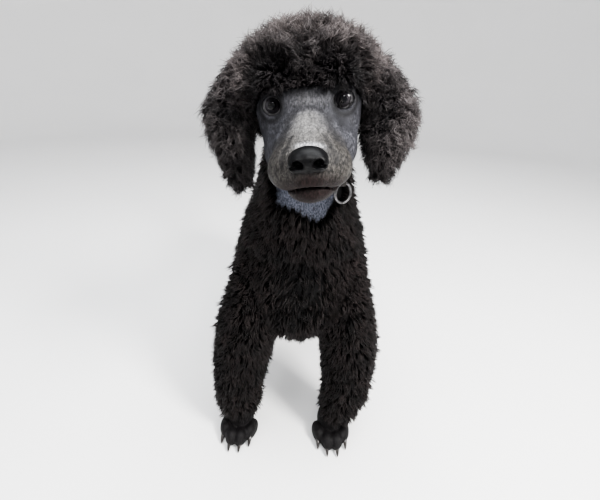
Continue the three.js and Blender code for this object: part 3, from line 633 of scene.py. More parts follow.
def coated(points, q):
    """1 where the long coat covers the skin, 0 on shaved skin."""
    face = rise(8 - np.maximum(over_part(q), q[:, 1] - 26), 8) * (np.abs(q[:, 0]) < 42)
    on_head = np.minimum(skull.distance(q), jaw.distance(q)) < 8
    face = face * on_head * (points[:, 1] < 30)
    feet = rise(46 - points[:, 2], 6)
    stem = rise(points[:, 2] - 392, 6) * (points[:, 1] > 300) * (points[:, 2] < 446)
    bare = np.maximum(np.maximum(face, feet), np.maximum(stem, throat_bare(points, 6.0)))
    return 1 - bare


# Materials
class Paint:
    """A new material: its shader and the nodes that feed it."""

    def __init__(self, name):
        self.material = bpy.data.materials.new(name)
        self.material.use_nodes = True
        self.nodes = self.material.node_tree.nodes
        self.links = self.material.node_tree.links
        self.shader = self.nodes["Principled BSDF"]

    def where(self):
        return self.nodes.new("ShaderNodeTexCoord").outputs["Object"]

    def noise(self, scale, detail=4.0, rough=0.55, stretch=None):
        where = self.where()
        if stretch:
            drawn = self.nodes.new("ShaderNodeVectorMath")
            drawn.operation = "MULTIPLY"
            drawn.inputs[1].default_value = stretch
            self.links.new(where, drawn.inputs[0])
            where = drawn.outputs["Vector"]
        texture = self.nodes.new("ShaderNodeTexNoise")
        texture.inputs["Scale"].default_value = scale
        texture.inputs["Detail"].default_value = detail
        texture.inputs["Roughness"].default_value = rough
        self.links.new(where, texture.inputs["Vector"])
        return texture.outputs["Fac"]

    def ramp(self, value, low, high, most=1.0):
        """A number drawn from a range out to 0 to most."""
        node = self.nodes.new("ShaderNodeMapRange")
        node.inputs["From Min"].default_value = low
        node.inputs["From Max"].default_value = high
        node.inputs["To Max"].default_value = most
        self.links.new(value, node.inputs["Value"])
        return node.outputs["Result"]

    def mix(self, share, first, second):
        node = self.nodes.new("ShaderNodeMix")
        node.data_type = "RGBA"
        for name, value in (("Factor", share), ("A", first), ("B", second)):
            if isinstance(value, tuple):
                node.inputs[name].default_value = (*value, 1)
            else:
                self.links.new(value, node.inputs[name])
        return node.outputs["Result"]

    def mark(self, name):
        """A number that the mesh holds on each point."""
        node = self.nodes.new("ShaderNodeAttribute")
        node.attribute_name = name
        return node.outputs["Fac"]

    def bump(self, height, strength, distance):
        node = self.nodes.new("ShaderNodeBump")
        node.inputs["Strength"].default_value = strength
        node.inputs["Distance"].default_value = distance
        self.links.new(height, node.inputs["Height"])
        self.links.new(node.outputs["Normal"], self.shader.inputs["Normal"])

    def finish(self, color, roughness, specular=0.5):
        self.links.new(color, self.shader.inputs["Base Color"])
        self.shader.inputs["Roughness"].default_value = roughness
        self.shader.inputs["Specular IOR Level"].default_value = specular
        return self.material


def skin_material():
    """Charcoal skin with clipped hair, and its markings, painted shade and painted highlight laid over
    it one by one.
    """
    paint = Paint("shaved_skin")
    speckle = paint.noise(900, 3, 0.7, (1.0, 0.4, 0.55))
    fine = paint.ramp(speckle, 0.40, 0.62)
    runs = paint.ramp(paint.noise(300, 4, 0.6, (1.0, 0.3, 0.5)), 0.42, 0.68, 0.55)
    broad = paint.ramp(paint.noise(75, 4), 0.35, 0.65)

    def lay(color, name, dark, light):
        return paint.mix(paint.mark(name), color, paint.mix(fine, dark, light))

    color = paint.mix(fine, (0.012, 0.012, 0.0145), (0.074, 0.074, 0.084))
    color = paint.mix(broad, color, (0.020, 0.020, 0.023))
    color = lay(color, "pads", (0.010, 0.0092, 0.0085), (0.056, 0.0515, 0.047))
    color = lay(color, "bridge", (0.066, 0.064, 0.062), (0.168, 0.163, 0.159))
    color = paint.mix(runs, color, (0.010, 0.0098, 0.0108))
    # A painted highlight along the top edge of the nose leather, lighter than the skin round it
    color = lay(color, "painted_highlight", (0.09, 0.09, 0.095), (0.34, 0.336, 0.346))
    color = paint.mix(paint.mark("shadow"), color, (0.006, 0.0058, 0.0065))
    color = lay(color, "lips", (0.0035, 0.0019, 0.0018), (0.0125, 0.0072, 0.0068))
    color = lay(color, "throat", (0.016, 0.018, 0.025), (0.105, 0.112, 0.142))
    color = lay(color, "foot", (0.002, 0.0018, 0.002), (0.008, 0.007, 0.0075))
    # Under the coat the skin takes the undercoat's black, partly painted shade deep in the coat
    color = paint.mix(paint.mark("hairy"), color, (0.003, 0.0027, 0.0028))
    paint.bump(speckle, 0.7, 0.0008)
    return paint.finish(color, 0.6, 0.12)


def coat_material(name, root, tip, fade_and_rim_light):
    """Black hair, browner and lighter towards its tips, most so where the coat is bleached and painted
    rim light lies round the head's outline.
    """
    paint = Paint(name)
    share = paint.nodes.new("ShaderNodeMath")
    share.operation = "MULTIPLY"
    paint.links.new(paint.mark("tip"), share.inputs[0])
    paint.links.new(paint.ramp(paint.noise(35, 2), 0.25, 0.60), share.inputs[1])
    # Tips lighter round the head's outline: partly sun-bleached hair, partly painted rim light
    outer = paint.mix(paint.mark("rim"), tip, fade_and_rim_light)
    hair = paint.mix(share.outputs[0], root, outer)
    deep = tuple(0.45 * value for value in root)
    return paint.finish(paint.mix(paint.mark("shade"), deep, hair), 0.5, 0.16)


# Tufts
TUFT_PATCH = 0.003


def strands(name, paths, radius, roots_uv, shade, material):
    """Closed three-sided tapered tufts. Paths holds each tuft's line of points from its
    root to its tip, and the tuft's places on the unwrapped skin go with it."""
    count, rings, _ = paths.shape
    rings -= 1
    way = np.gradient(paths, axis=1)
    way /= np.maximum(np.linalg.norm(way, axis=2, keepdims=True), 1e-6)
    seed_way = rng.normal(size=(count, 1, 3))
    first = np.cross(way, seed_way)
    first /= np.maximum(np.linalg.norm(first, axis=2, keepdims=True), 1e-6)
    second = np.cross(way, first)
    s = np.linspace(0, 1, rings + 1)[:-1]
    taper = (1 - s**2.2)[None, :] * radius[:, None]
    taper[:, 0] *= 0.8
    corners = []
    for side in range(3):
        angle = 2 * math.pi * side / 3
        offset = first[:, :-1] * math.cos(angle) + second[:, :-1] * math.sin(angle)
        corners.append(paths[:, :-1] + offset * taper[:, :, None])
    body = np.stack(corners, axis=2).reshape(count, rings * 3, 3)
    points = np.concatenate([body, paths[:, -1:]], axis=1)
    each = rings * 3 + 1
    faces = [(0, 2, 1)]
    for a, d, c, b in rows_of_quads(rings, 3):
        faces += [(a, b, d), (b, c, d)]
    last = (rings - 1) * 3
    faces += [(last + side, last + (side + 1) % 3, each - 1) for side in range(3)]
    faces = np.array(faces)
    all_faces = (faces[None] + (np.arange(count) * each)[:, None, None]).reshape(-1, 3)
    piece = mesh_object(name, points.reshape(-1, 3), all_faces, material)
    along = np.append(np.repeat(s, 3), 1.0)
    number_per_point(piece, "tip", np.tile(along, count))
    number_per_point(piece, "shade", np.repeat(shade, each))
    # Sun-bleach and painted rim light round the head's outline, for each tuft
    number_per_point(piece, "rim", np.repeat(fade_and_rim_light_at(paths[:, 0]), each))
    across = np.append(np.tile([-0.5, 0.5, 0.0], rings), 0.0)
    local = np.stack([across, along - 0.5], axis=1) * TUFT_PATCH
    uv = roots_uv[:, None, :] + local[None]
    corner_uv = uv.reshape(-1, 2)[all_faces.ravel()]
    layer = piece.data.uv_layers.new(name="OFBake")
    layer.data.foreach_set("uv", corner_uv.astype(np.float32).ravel())
    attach(piece, "root")
    return piece


def fade_and_rim_light_at(roots):
    """How far the coat is bleached and carries painted rim light: most round the head's outline as seen
    from the front.
    """
    q = to_head(roots)
    outline = np.hypot(q[:, 0] / TOPKNOT_RADII[0], (q[:, 2] - TOPKNOT_AT[2]) / TOPKNOT_RADII[2])
    crown = rise(outline - 0.40, 0.26) * rise(q[:, 2] + 6, 16)
    left = rise(q[:, 0] - 46, 20) * rise(q[:, 2] + 66, 40)
    right = rise(-q[:, 0] - 56, 16) * rise(q[:, 2] + 48, 40)
    return np.max([crown, left, right], axis=0) * (roots[:, 2] > 380) * (roots[:, 1] < 60)


def nearest_of(points, centres):
    """The index of the nearest centre to each point."""
    tree = KDTree(len(centres))
    for index, centre in enumerate(centres):
        tree.insert(centre, index)
    tree.balance()
    return np.array([tree.find(point)[1] for point in points])


def grow(roots, tips, look):
    """The lines of tufts from roots to tips: they rise from the skin, fall over along the
    lie, gather into locks with their neighbours and crimp."""
    count = len(roots)
    outward = tips - roots
    high = np.linalg.norm(outward, axis=1, keepdims=True)
    normal = outward / np.maximum(high, 1e-6)
    s = look["stops"]
    lie = np.tile(look["lie"], (count, 1))
    lie = lie - normal * (lie * normal).sum(1, keepdims=True) * 0.8
    climb = 1 - (1 - s) ** 1.6
    lean = s**1.5
    paths = roots[:, None] + outward[:, None] * climb[None, :, None]
    paths = paths + lie[:, None] * lean[None, :, None]
    # Locks
    locks = max(8, count // look["per_lock"])
    chosen = rng.choice(count, locks, replace=False)
    owner = nearest_of(tips, tips[chosen])
    leader = chosen[owner]
    sway = rng.normal(0, look["sway"], (locks, 3))
    paths = paths + sway[owner][:, None] * (s**1.3)[None, :, None]
    pull = look["gather"] * s**1.4
    paths = paths + (paths[leader] - paths) * pull[None, :, None]
    # Crimps, alike within a lock
    phase = rng.uniform(0, 2 * np.pi, locks)[owner] + rng.normal(0, look["loose"], count)
    turns = look["turns"] * rng.uniform(0.8, 1.2, locks)[owner]
    seed_way = rng.normal(size=(locks, 3))[owner]
    u = np.cross(normal, seed_way)
    u /= np.maximum(np.linalg.norm(u, axis=1, keepdims=True), 1e-6)
    v = np.cross(normal, u)
    angle = phase[:, None] + 2 * np.pi * turns[:, None] * s[None]
    size = look["crimp"] * np.minimum(1, s * 1.6)
    wave = u[:, None] * np.cos(angle)[..., None] + v[:, None] * np.sin(angle)[..., None]
    paths = paths + wave * size[None, :, None]
    # Loose ends
    stray = rng.normal(0, look["stray"], (count, 3))
    paths = paths + stray[:, None] * (s**2)[None, :, None]
    tone = rng.normal(0.66, 0.22, locks)[owner] + rng.normal(0, 0.16, count)
    return paths, np.clip(tone, 0.12, 1)


def look(segments, lie, **values):
    """How tufts grow: their segments and lie, how many gather into a lock and how much, how
    far locks sway, the size and number of crimps, how loose the ends are, and the width."""
    made = dict(turns=1.5, loose=0.5, stray=1.0)
    made.update(values)
    made["stops"] = np.linspace(0, 1, segments + 1)
    made["lie"] = np.asarray(lie, float)
    return made


def on_map(across, up):
    """Places on the unwrapped skin, kept off its edge."""
    return np.stack([across, up], axis=1) * 0.96 + 0.02


def form_coat(name, form, depth, count, start, style, material, keep, placed=np.asarray):
    """Tufts over one form. Keep says which of them stand, from root and tip."""
    t, angle = form.scatter(count)
    chosen = (t > start) & (t < 1)
    t, angle = t[chosen], angle[chosen]
    roots, normals, on_skin = rooted(placed(form.spot(t, angle, depth * CORE_DEPTH)))
    tips = roots + normals * depth * CORE_DEPTH * rng.uniform(0.80, 1.0, (len(t), 1))
    keepers = on_skin & keep(roots, tips)
    t, angle, roots, tips = t[keepers], angle[keepers], roots[keepers], tips[keepers]
    paths, tone = grow(roots, tips, style)
    uv = on_map((angle / (2 * np.pi)) % 1, t)
    radius = style["width"] * rng.uniform(0.7, 1.3, len(t))
    strands(name, paths, radius, uv, tone, material)


def rooted(places):
    """Places brought to the skin, the skin's direction there, and which of them reached it."""
    places = settle(skin_field, places, 3, 2.0)
    d, normals, _ = slope_of(skin_field, places, 0.8)
    return places - normals * 0.6, normals, np.abs(d) < 0.5


def clear_of_head(tips, slack=0.5):
    q = to_head(tips)
    return np.minimum(skull.distance(q), jaw.distance(q)) > slack


def clear_of_ring(tips):
    """Leaves room in the coat round the collar's ring."""
    away = tips - np.array(RING_AT)
    return (np.hypot(away[:, 0], away[:, 2]) > RING_RADIUS + 3) | (away[:, 1] > 20)


# How many tufts are scattered over each form, before those with no place there are left out
CHEST_TUFTS = 45000
TRUNK_TUFTS = 19500
NECK_TUFTS = 20500
FORELEG_TUFTS = 13000
HIND_LEG_TUFTS = 5400
EAR_TUFTS = 8600
BROW_TUFTS = 7000
TOPKNOT_TUFTS = 27500
POMPON_TUFTS = 3000
STUBBLE_TUFTS = 8000
CUFF_HEIGHT = 40
COAT_PARTS_AT = 70


def build_body_coat(material):
    def keep_front(roots, tips):
        return (roots[:, 1] < COAT_PARTS_AT) & clear_of_ring(tips)

    def keep_back(roots, tips):
        return roots[:, 1] >= COAT_PARTS_AT

    def keep_throat(roots, tips):
        bare = throat_bare(roots, 4.0) > 0.4
        return ~bare & clear_of_head(tips) & clear_of_ring(tips) & (to_head(roots)[:, 2] < 20)

    def keep_cuff(roots, tips):
        return roots[:, 2] > CUFF_HEIGHT

    down = look(2, (0, 2, -9), per_lock=8, gather=0.4, sway=2.3, crimp=1.6, width=0.8)
    form_coat("coat_chest", trunk, BODY_COAT, CHEST_TUFTS, 0, down, material, keep_front)
    back = look(2, (0, 8, -6), per_lock=7, gather=0.36, sway=2.4, crimp=1.5, width=0.95)
    form_coat("coat_trunk", trunk, BODY_COAT, TRUNK_TUFTS, 0, back, material, keep_back)
    down_neck = look(2, (0, 1, -9), per_lock=8, gather=0.4, sway=2.0, crimp=1.5, width=0.8)
    form_coat("coat_neck", neck, NECK_COAT, NECK_TUFTS, 0.1, down_neck, material, keep_throat)
    fall = look(2, (0, 0, -6), per_lock=8, gather=0.38, sway=1.8, crimp=1.5, width=0.85)
    for name, form in legs.items():
        count = FORELEG_TUFTS if name.startswith("foreleg") else HIND_LEG_TUFTS
        form_coat(f"coat_{name}", form, LEG_COAT, count, 0.02, fall, material, keep_cuff)


def build_ears(material):
    for side, name in ((1, "left"), (-1, "right")):
        form = ears[side]
        style = look(4, (side * 1.2, 0, -6), per_lock=8, gather=0.4, sway=1.6, crimp=2.3,
                     turns=1.4, stray=1.4, width=0.40)

        def keep(roots, tips):
            q = to_head(tips)
            above = over_part(q)
            aside = (above < 44) & (np.abs(q[:, 0]) > 52)
            return ((above < 10) | aside) & clear_of_head(tips, 1.5)
        form_coat(f"coat_ear_{name}", form, EAR_COAT, EAR_TUFTS, 0, style, material, keep, from_head)


# The brow's hairline: the lowest roots at each place across the face
BROW_ACROSS = [-44, -38, -31, 0, 31, 38, 44]
BROW_LOW = [-16, 1, 12, 12, 12, 1, -16]


def build_brow(material):
    """Short hair of the forehead and temples, from the topknot down to above the eyes."""
    aside, up = spread_evenly(np.arange(BROW_TUFTS) + 0.5)
    x = -43 + 86 * aside
    z = -14 + 52 * up
    chosen = z > np.interp(x, BROW_ACROSS, BROW_LOW)
    x, z = x[chosen], z[chosen]
    ahead = np.linspace(-40, 34, 75)
    grid = np.stack([np.repeat(x, len(ahead)), np.tile(ahead, len(x)), np.repeat(z, len(ahead))], axis=1)
    outside = skin_field(from_head(grid)).reshape(len(x), len(ahead)) > 0
    first = np.argmin(outside, axis=1)
    reached = ~outside[np.arange(len(x)), first]
    y = ahead[first]
    roots, normals, on_skin = rooted(from_head(np.stack([x, y, z], axis=1)))
    q = to_head(roots)
    keepers = reached & on_skin & (q[:, 1] > -22)
    roots, normals, q = roots[keepers], normals[keepers], q[keepers]
    long = np.clip(8 + (q[:, 2] - 12) * 0.5, 6, 18) * rng.uniform(0.8, 1.05, len(q))
    style = look(3, (0, -2.5, -3.5), per_lock=9, gather=0.4, sway=1.3, crimp=1.2, turns=1.4,
                 stray=1.2, width=0.42)
    paths, tone = grow(roots, roots + normals * long[:, None], style)
    uv = on_map((q[:, 0] + 50) / 100, (q[:, 2] + 40) / 100)
    radius = style["width"] * rng.uniform(0.7, 1.3, len(q))
    strands("coat_brow", paths, radius, uv, tone, material)


def build_face(skin_points, material):
    """Stubble of the shaved face and throat, lying back from the nose."""
    q = to_head(skin_points)
    bare = (coated(skin_points, q) < 0.2) & (skin_points[:, 2] > 330) & (skin_points[:, 1] < 60)
    to_eye = np.linalg.norm(np.abs(q) * [1, 0, 1] + q * [0, 1, 0] - [EYE_ASIDE, EYE_DEPTH, 0], axis=1)
    to_nose = np.linalg.norm((q - NOSE_AT) / [15, 12, 11], axis=1)
    height = (q - MOUTH_AT) @ MOUTH_SLOPE
    in_mouth = (np.abs(height) < 4) & (q[:, 1] < -24)
    open_skin = np.flatnonzero(bare & (to_eye > 13.5) & (to_nose > 1) & ~in_mouth)
    chosen = rng.choice(open_skin, min(STUBBLE_TUFTS, len(open_skin)), replace=False)
    roots, normals, on_skin = rooted(skin_points[chosen])
    roots, normals = roots[on_skin], normals[on_skin]
    lie = from_head(np.array([[0, 1, -0.35]])) - HEAD_PLACE
    lie = lie - normals * (normals @ lie[0])[:, None]
    lie = lie + rng.normal(0, 0.25, lie.shape)
    tips = roots + normals * 1.15 + lie * rng.uniform(1.4, 2.3, (len(roots), 1))
    paths = np.stack([roots, tips], axis=1)
    q = to_head(roots)
    around = (np.arctan2(q[:, 0], q[:, 2] + 28) / (2 * np.pi)) % 1
    uv = on_map(around, (q[:, 1] + 95) / 160)
    radius = rng.uniform(0.10, 0.22, len(roots))
    piece = strands("coat_face", paths, radius, uv, np.ones(len(roots)), material)
    mark_skin(piece, np.repeat(roots, 4, axis=0))


def ball_coat(name, centre, radii, depth, count, style, material, keep, placed=np.asarray,
              reach=None, pieces=1):
    """Tufts over an ellipsoid, in one or more pieces parted by their place round it."""
    index = np.arange(count) + 0.5
    up = 1 - 2 * index / count
    flat = np.sqrt(1 - up**2)
    round_it = index * GOLDEN
    way = np.stack([flat * np.cos(round_it), flat * np.sin(round_it), up], axis=1)
    way += rng.normal(0, 0.012, way.shape)
    way /= np.linalg.norm(way, axis=1, keepdims=True)
    roots, normals, on_skin = rooted(placed(centre + way * (radii - depth * CORE_DEPTH)))
    high = depth * CORE_DEPTH * rng.uniform(0.84, 1.0, count)
    if reach:
        high = high * reach(roots)
    tips = roots + normals * high[:, None]
    keepers = on_skin & keep(roots)
    roots, tips, way = roots[keepers], tips[keepers], way[keepers]
    paths, tone = grow(roots, tips, style)
    longitude = (np.arctan2(way[:, 1], way[:, 0]) / (2 * np.pi)) % 1
    latitude = np.arccos(np.clip(way[:, 2], -1, 1)) / np.pi
    uv = on_map(longitude, latitude)
    radius = style["width"] * rng.uniform(0.7, 1.3, len(roots))
    for number in range(pieces):
        part = (longitude * pieces).astype(int) == number
        strands(f"{name}_{number + 1}", paths[part], radius[part], uv[part], tone[part], material)


def build_topknot(material):
    style = look(4, (0, 0, -4), per_lock=8, gather=0.42, sway=1.8, crimp=2.7, turns=1.5,
                 stray=1.5, width=0.38)

    def keep(roots):
        return over_part(to_head(roots)) > -3

    def reach(roots):
        return np.clip(0.6 + over_part(to_head(roots)) / 30, 0.5, 1)
    ball_coat("coat_topknot", TOPKNOT_AT, TOPKNOT_RADII, TOPKNOT_COAT, TOPKNOT_TUFTS, style, material,
              keep, from_head, reach, pieces=4)


def build_pompon(material):
    style = look(3, (0, 0, -1), per_lock=12, gather=0.5, sway=2.0, crimp=1.8, width=1.0)

    def above_stem(roots):
        return roots[:, 2] > 444
    ball_coat("coat_pompon", POMPON_AT, POMPON_RADII, POMPON_COAT, POMPON_TUFTS, style, material,
              above_stem)


# Eyes, nose, claws, collar and ring
EYE_RINGS = 40
EYE_SIDES = 56
PUPIL_EDGE = (2.7, 3.4)
IRIS_EDGE = (5.8, 6.4)
CORNEA_RADIUS = 8.5
CORNEA_BULGE = 0.45


def build_eyes():
    paint = Paint("eye")
    away = paint.mark("off_axis")
    iris = paint.mix(paint.ramp(away, *PUPIL_EDGE), (0.003, 0.003, 0.004), (0.024, 0.022, 0.025))
    color = paint.mix(paint.ramp(away, *IRIS_EDGE), iris, (0.19, 0.185, 0.19))
    material = paint.finish(color, 0.025, 0.3)
    polar = np.linspace(0, np.pi, EYE_RINGS)[1:-1]
    around = np.linspace(0, 2 * np.pi, EYE_SIDES, endpoint=False)
    a, b = [grid.ravel() for grid in np.meshgrid(polar, around, indexing="ij")]
    way = np.stack([np.sin(a) * np.cos(b), -np.cos(a), np.sin(a) * np.sin(b)], axis=1)
    way = np.concatenate([way, np.array([[0, -1, 0], [0, 1, 0]], float)])
    faces = []
    for a, d, c, b in rows_of_quads(len(polar), EYE_SIDES):
        faces += [(a, b, c), (a, c, d)]
    front, back = len(way) - 2, len(way) - 1
    last_ring = (len(polar) - 1) * EYE_SIDES
    for side in range(EYE_SIDES):
        beside = (side + 1) % EYE_SIDES
        faces.append((front, beside, side))
        faces.append((back, last_ring + side, last_ring + beside))
    for side, name in ((1, "left"), (-1, "right")):
        gaze = np.array([-0.10 * side, -1, 0.09])
        gaze /= np.linalg.norm(gaze)
        off = EYE_RADIUS * np.arccos(np.clip(way @ gaze, -1, 1))
        bulge = CORNEA_BULGE * np.clip(1 - (off / CORNEA_RADIUS) ** 2, 0, 1)
        local = way * (EYE_RADIUS - 0.35 + bulge)[:, None]
        placed = from_head(local + np.array([side * EYE_ASIDE, EYE_DEPTH, 0]))
        eye = mesh_object(f"eyeball_{name}", placed, faces, material)
        number_per_point(eye, "off_axis", off)
        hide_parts(f"eye_{name}")
        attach(eye, "root")


def nose_field(q):
    d = ellipsoid(q, NOSE_AT, (12, 9, 8))
    d = join(d, ellipsoid(q, NOSE_AT + np.array([0, -0.5, -8]), (4, 4.5, 6.5)), 3)
    for side in (1, -1):
        d = join(d, ellipsoid(q, NOSE_AT + np.array([side * 6.6, -4.4, -1.5]), (5.2, 5, 5.4)), 2.5)
    for side in (1, -1):
        x = (q[:, 0] - side * 5.9) * side
        y = q[:, 1] - (NOSE_AT[1] - 9.5)
        z = q[:, 2] - (NOSE_AT[2] - 1.2)
        tilted = np.stack([x * 0.92 + z * 0.38, y, -x * 0.38 + z * 0.92], axis=1)
        d = carve(d, ellipsoid(tilted, (0, 0, 0), (3.5, 6.0, 2.5)), 0.8)
        slit = np.stack([x - 3.6, y - 1.5, z + 1.6], axis=1)
        d = carve(d, ellipsoid(slit, (0, 0, 0), (3.2, 3.0, 0.9)), 0.6)
    groove = np.exp(-(q[:, 0] / 0.7) ** 2) * (q[:, 2] < NOSE_AT[2] - 2) * (q[:, 1] < NOSE_AT[1] - 2)
    return d + 0.8 * groove


def build_nose():
    paint = Paint("nose_leather")
    pebble = paint.nodes.new("ShaderNodeTexVoronoi")
    pebble.inputs["Scale"].default_value = 900
    paint.links.new(paint.where(), pebble.inputs["Vector"])
    height = pebble.outputs["Distance"]
    color = paint.mix(paint.ramp(height, 0.1, 0.7), (0.0035, 0.0035, 0.0040), (0.0014, 0.0013, 0.0014))
    color = paint.mix(paint.mark("low"), color, (0.0075, 0.0032, 0.003))
    paint.bump(height, -0.8, 0.0006)
    material = paint.finish(color, 0.4, 0.1)
    xs = axis_steps([(-15, 15, 0.5)])
    ys = axis_steps([(-96, -66, 0.5)])
    zs = axis_steps([(-46, -13, 0.5)])
    points, quads = graded_surface(nose_field, xs, ys, zs)
    points = smoothed(points, quads, 2)
    nose = mesh_object("nose_leather", from_head(points), quads, material)
    number_per_point(nose, "low", rise(NOSE_AT[2] - 6 - points[:, 2], 3))
    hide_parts("nose")
    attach(nose, "root")


CLAW_RINGS = 7
CLAW_SIDES = 10
CLAW_LONG = 9.5
CLAW_DROP = 7.0
CLAW_HEIGHT = 9.6
CLAW_RADIUS = 3.4


def build_claws():
    paint = Paint("claw")
    grain = paint.ramp(paint.noise(500, 3), 0.3, 0.7)
    material = paint.finish(paint.mix(grain, (0.006, 0.005, 0.005), (0.02, 0.017, 0.015)), 0.3)
    names = ["front_left", "front_right", "hind_left", "hind_right"]
    for name, (centre_x, centre_y, turn) in zip(names, PAWS):
        points, faces = [], []
        for toe_x, toe_y, _ in TOES:
            start = len(points)
            for ring in range(CLAW_RINGS):
                s = ring / (CLAW_RINGS - 1)
                centre = np.array([toe_x * 1.08, toe_y - 13 - CLAW_LONG * s,
                                   CLAW_HEIGHT - CLAW_DROP * s**1.6])
                radius = CLAW_RADIUS * (1 - s) ** 0.5 + 0.5
                for side in range(CLAW_SIDES):
                    angle = 2 * math.pi * side / CLAW_SIDES
                    points.append(centre + np.array([
                        math.cos(angle) * radius * 0.8,
                        0.25 * radius * math.sin(angle),
                        math.sin(angle) * radius,
                    ]))
            for quad in rows_of_quads(CLAW_RINGS, CLAW_SIDES):
                a, d, c, b = [start + corner for corner in quad]
                faces += [(a, b, d), (b, c, d)]
            for ring in (0, CLAW_RINGS - 1):
                first = start + ring * CLAW_SIDES
                points.append(np.mean(points[first:first + CLAW_SIDES], axis=0))
                hub = len(points) - 1
                for side in range(CLAW_SIDES):
                    a = first + side
                    b = first + (side + 1) % CLAW_SIDES
                    faces.append((hub, b, a) if ring == 0 else (hub, a, b))
        points = np.array(points)
        points[:, 2] = np.maximum(points[:, 2], 0.4)
        placed = turned_back(*points.T, -turn) + np.array([centre_x, centre_y, 0])
        claws = mesh_object(f"claws_{name}", placed, faces, material)
        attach(claws, "root")


# Where the collar, its tab and its ring are, how they lean and how large they are
COLLAR_AT = Vector((2, 25, 403))
COLLAR_TILT = 0.2
COLLAR_SAG = 0.25
COLLAR_HALF = (42, 44)
COLLAR_WIDE = 7
COLLAR_THICK = 2.4
TAB_AT = (38, -2.5, 388.2)
TAB_SIZE = (6, 18, 5.4)
RING_AT = Vector((39, -9, 378.6))
RING_RADIUS = 9.6
RING_WIRE = 1.35
RING_TURN = 0.62
RING_STEPS = 64
RING_SIDES = 16

# The band's section, as shares of its thickness and of its width, with cut corners
BAND_SECTION = [
    (-0.5, -0.42), (-0.42, -0.5), (0.42, -0.5), (0.5, -0.42),
    (0.5, 0.42), (0.42, 0.5), (-0.42, 0.5), (-0.5, 0.42),
]
BAND_STEPS = 96
BOX_SIDES = ((0, 2, 3, 1), (4, 5, 7, 6), (0, 1, 5, 4), (2, 6, 7, 3), (0, 4, 6, 2), (1, 3, 7, 5))


def hoop(place, radii, section, steps):
    """A section, given as places outward and up, swept round: its points and quads."""
    points = []
    for step in range(steps):
        angle = 2 * math.pi * step / steps
        for out, up in section:
            spot = ((radii[0] + out) * math.cos(angle), (radii[1] + out) * math.sin(angle), up)
            points.append(place @ Vector(spot))
    return points, rows_of_quads(steps, len(section), closed=True)


def build_collar():
    paint = Paint("band")
    weave = paint.nodes.new("ShaderNodeTexWave")
    weave.inputs["Scale"].default_value = 700
    paint.links.new(paint.where(), weave.inputs["Vector"])
    color = paint.mix(weave.outputs["Fac"], (0.012, 0.010, 0.009), (0.035, 0.030, 0.026))
    paint.bump(weave.outputs["Fac"], 0.5, 0.0004)
    material = paint.finish(color, 0.6)
    place = (Matrix.Translation(COLLAR_AT) @ Matrix.Rotation(COLLAR_TILT, 4, "X")
             @ Matrix.Rotation(COLLAR_SAG, 4, "Y"))
    section = [(-COLLAR_THICK / 2 + across * COLLAR_THICK, up * COLLAR_WIDE)
               for across, up in BAND_SECTION]
    points, faces = hoop(place, COLLAR_HALF, section, BAND_STEPS)
    # The tab that carries the ring
    first = len(points)
    for corner in range(8):
        ends = (corner & 1, corner >> 1 & 1, corner >> 2 & 1)
        spot = [at + size * (end - 0.5) for at, size, end in zip(TAB_AT, TAB_SIZE, ends)]
        points.append(Vector(spot))
    for quad in BOX_SIDES:
        faces.append(tuple(first + corner for corner in quad))
    collar = mesh_object("collar_band", points, faces, material, smooth=False)
    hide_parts("collar")
    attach(collar, "root")


def build_ring():
    paint = Paint("ring_metal")
    scuffs = paint.noise(400, 4, 0.6)
    color = paint.mix(paint.ramp(scuffs, 0.35, 0.7), (0.17, 0.167, 0.17), (0.06, 0.058, 0.057))
    material = paint.finish(color, 0.5)
    paint.shader.inputs["Metallic"].default_value = 1.0
    paint.links.new(paint.ramp(scuffs, -1.2, 3.0), paint.shader.inputs["Roughness"])
    turn = (Matrix.Translation(RING_AT) @ Matrix.Rotation(RING_TURN, 4, "Z")
            @ Matrix.Rotation(math.pi / 2 - 0.1, 4, "X"))
    tilts = [2 * math.pi * side / RING_SIDES for side in range(RING_SIDES)]
    section = [(RING_WIRE * math.cos(tilt), RING_WIRE * math.sin(tilt)) for tilt in tilts]
    points, faces = hoop(turn, (RING_RADIUS, RING_RADIUS), section, RING_STEPS)
    ring = mesh_object("ring", points, faces, material)
    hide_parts("collar_ring")
    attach(ring, "root")


# Studio
CAMERA_AT = (0, -360.7, 484.8)
CAMERA_DOWN = math.radians(25.714)
CAMERA_ROLL = math.radians(-2.569)
FOCAL_PIXELS = 376
PHOTO_WIDE = 600
SENSOR = 36


def build_camera():
    data = bpy.data.cameras.new("camera")
    data.sensor_width = SENSOR
    data.lens = FOCAL_PIXELS / PHOTO_WIDE * SENSOR
    data.clip_start = 0.01
    camera = bpy.data.objects.new("camera", data)
    bpy.context.scene.collection.objects.link(camera)
    ahead = Vector((0, math.cos(CAMERA_DOWN), -math.sin(CAMERA_DOWN)))
    up = Vector((0, math.sin(CAMERA_DOWN), math.cos(CAMERA_DOWN)))
    right = Vector((1, 0, 0))
    c, s = math.cos(CAMERA_ROLL), math.sin(CAMERA_ROLL)
    image_right = c * right - s * up
    image_down = -s * right - c * up
    turned = Matrix((image_right, -image_down, -ahead)).transposed().to_4x4()
    place = (Vector(CAMERA_AT) + Vector(SHIFT)) * MM
    camera.matrix_world = Matrix.Translation(place) @ turned
    bpy.context.scene.camera = camera


FLOOR_RADIUS = 2600.0
FLOOR_BEND = 1100.0
BACKDROP_HEIGHT = 2400.0
FLOOR_SIDES = 96
BEND_STEPS = 12


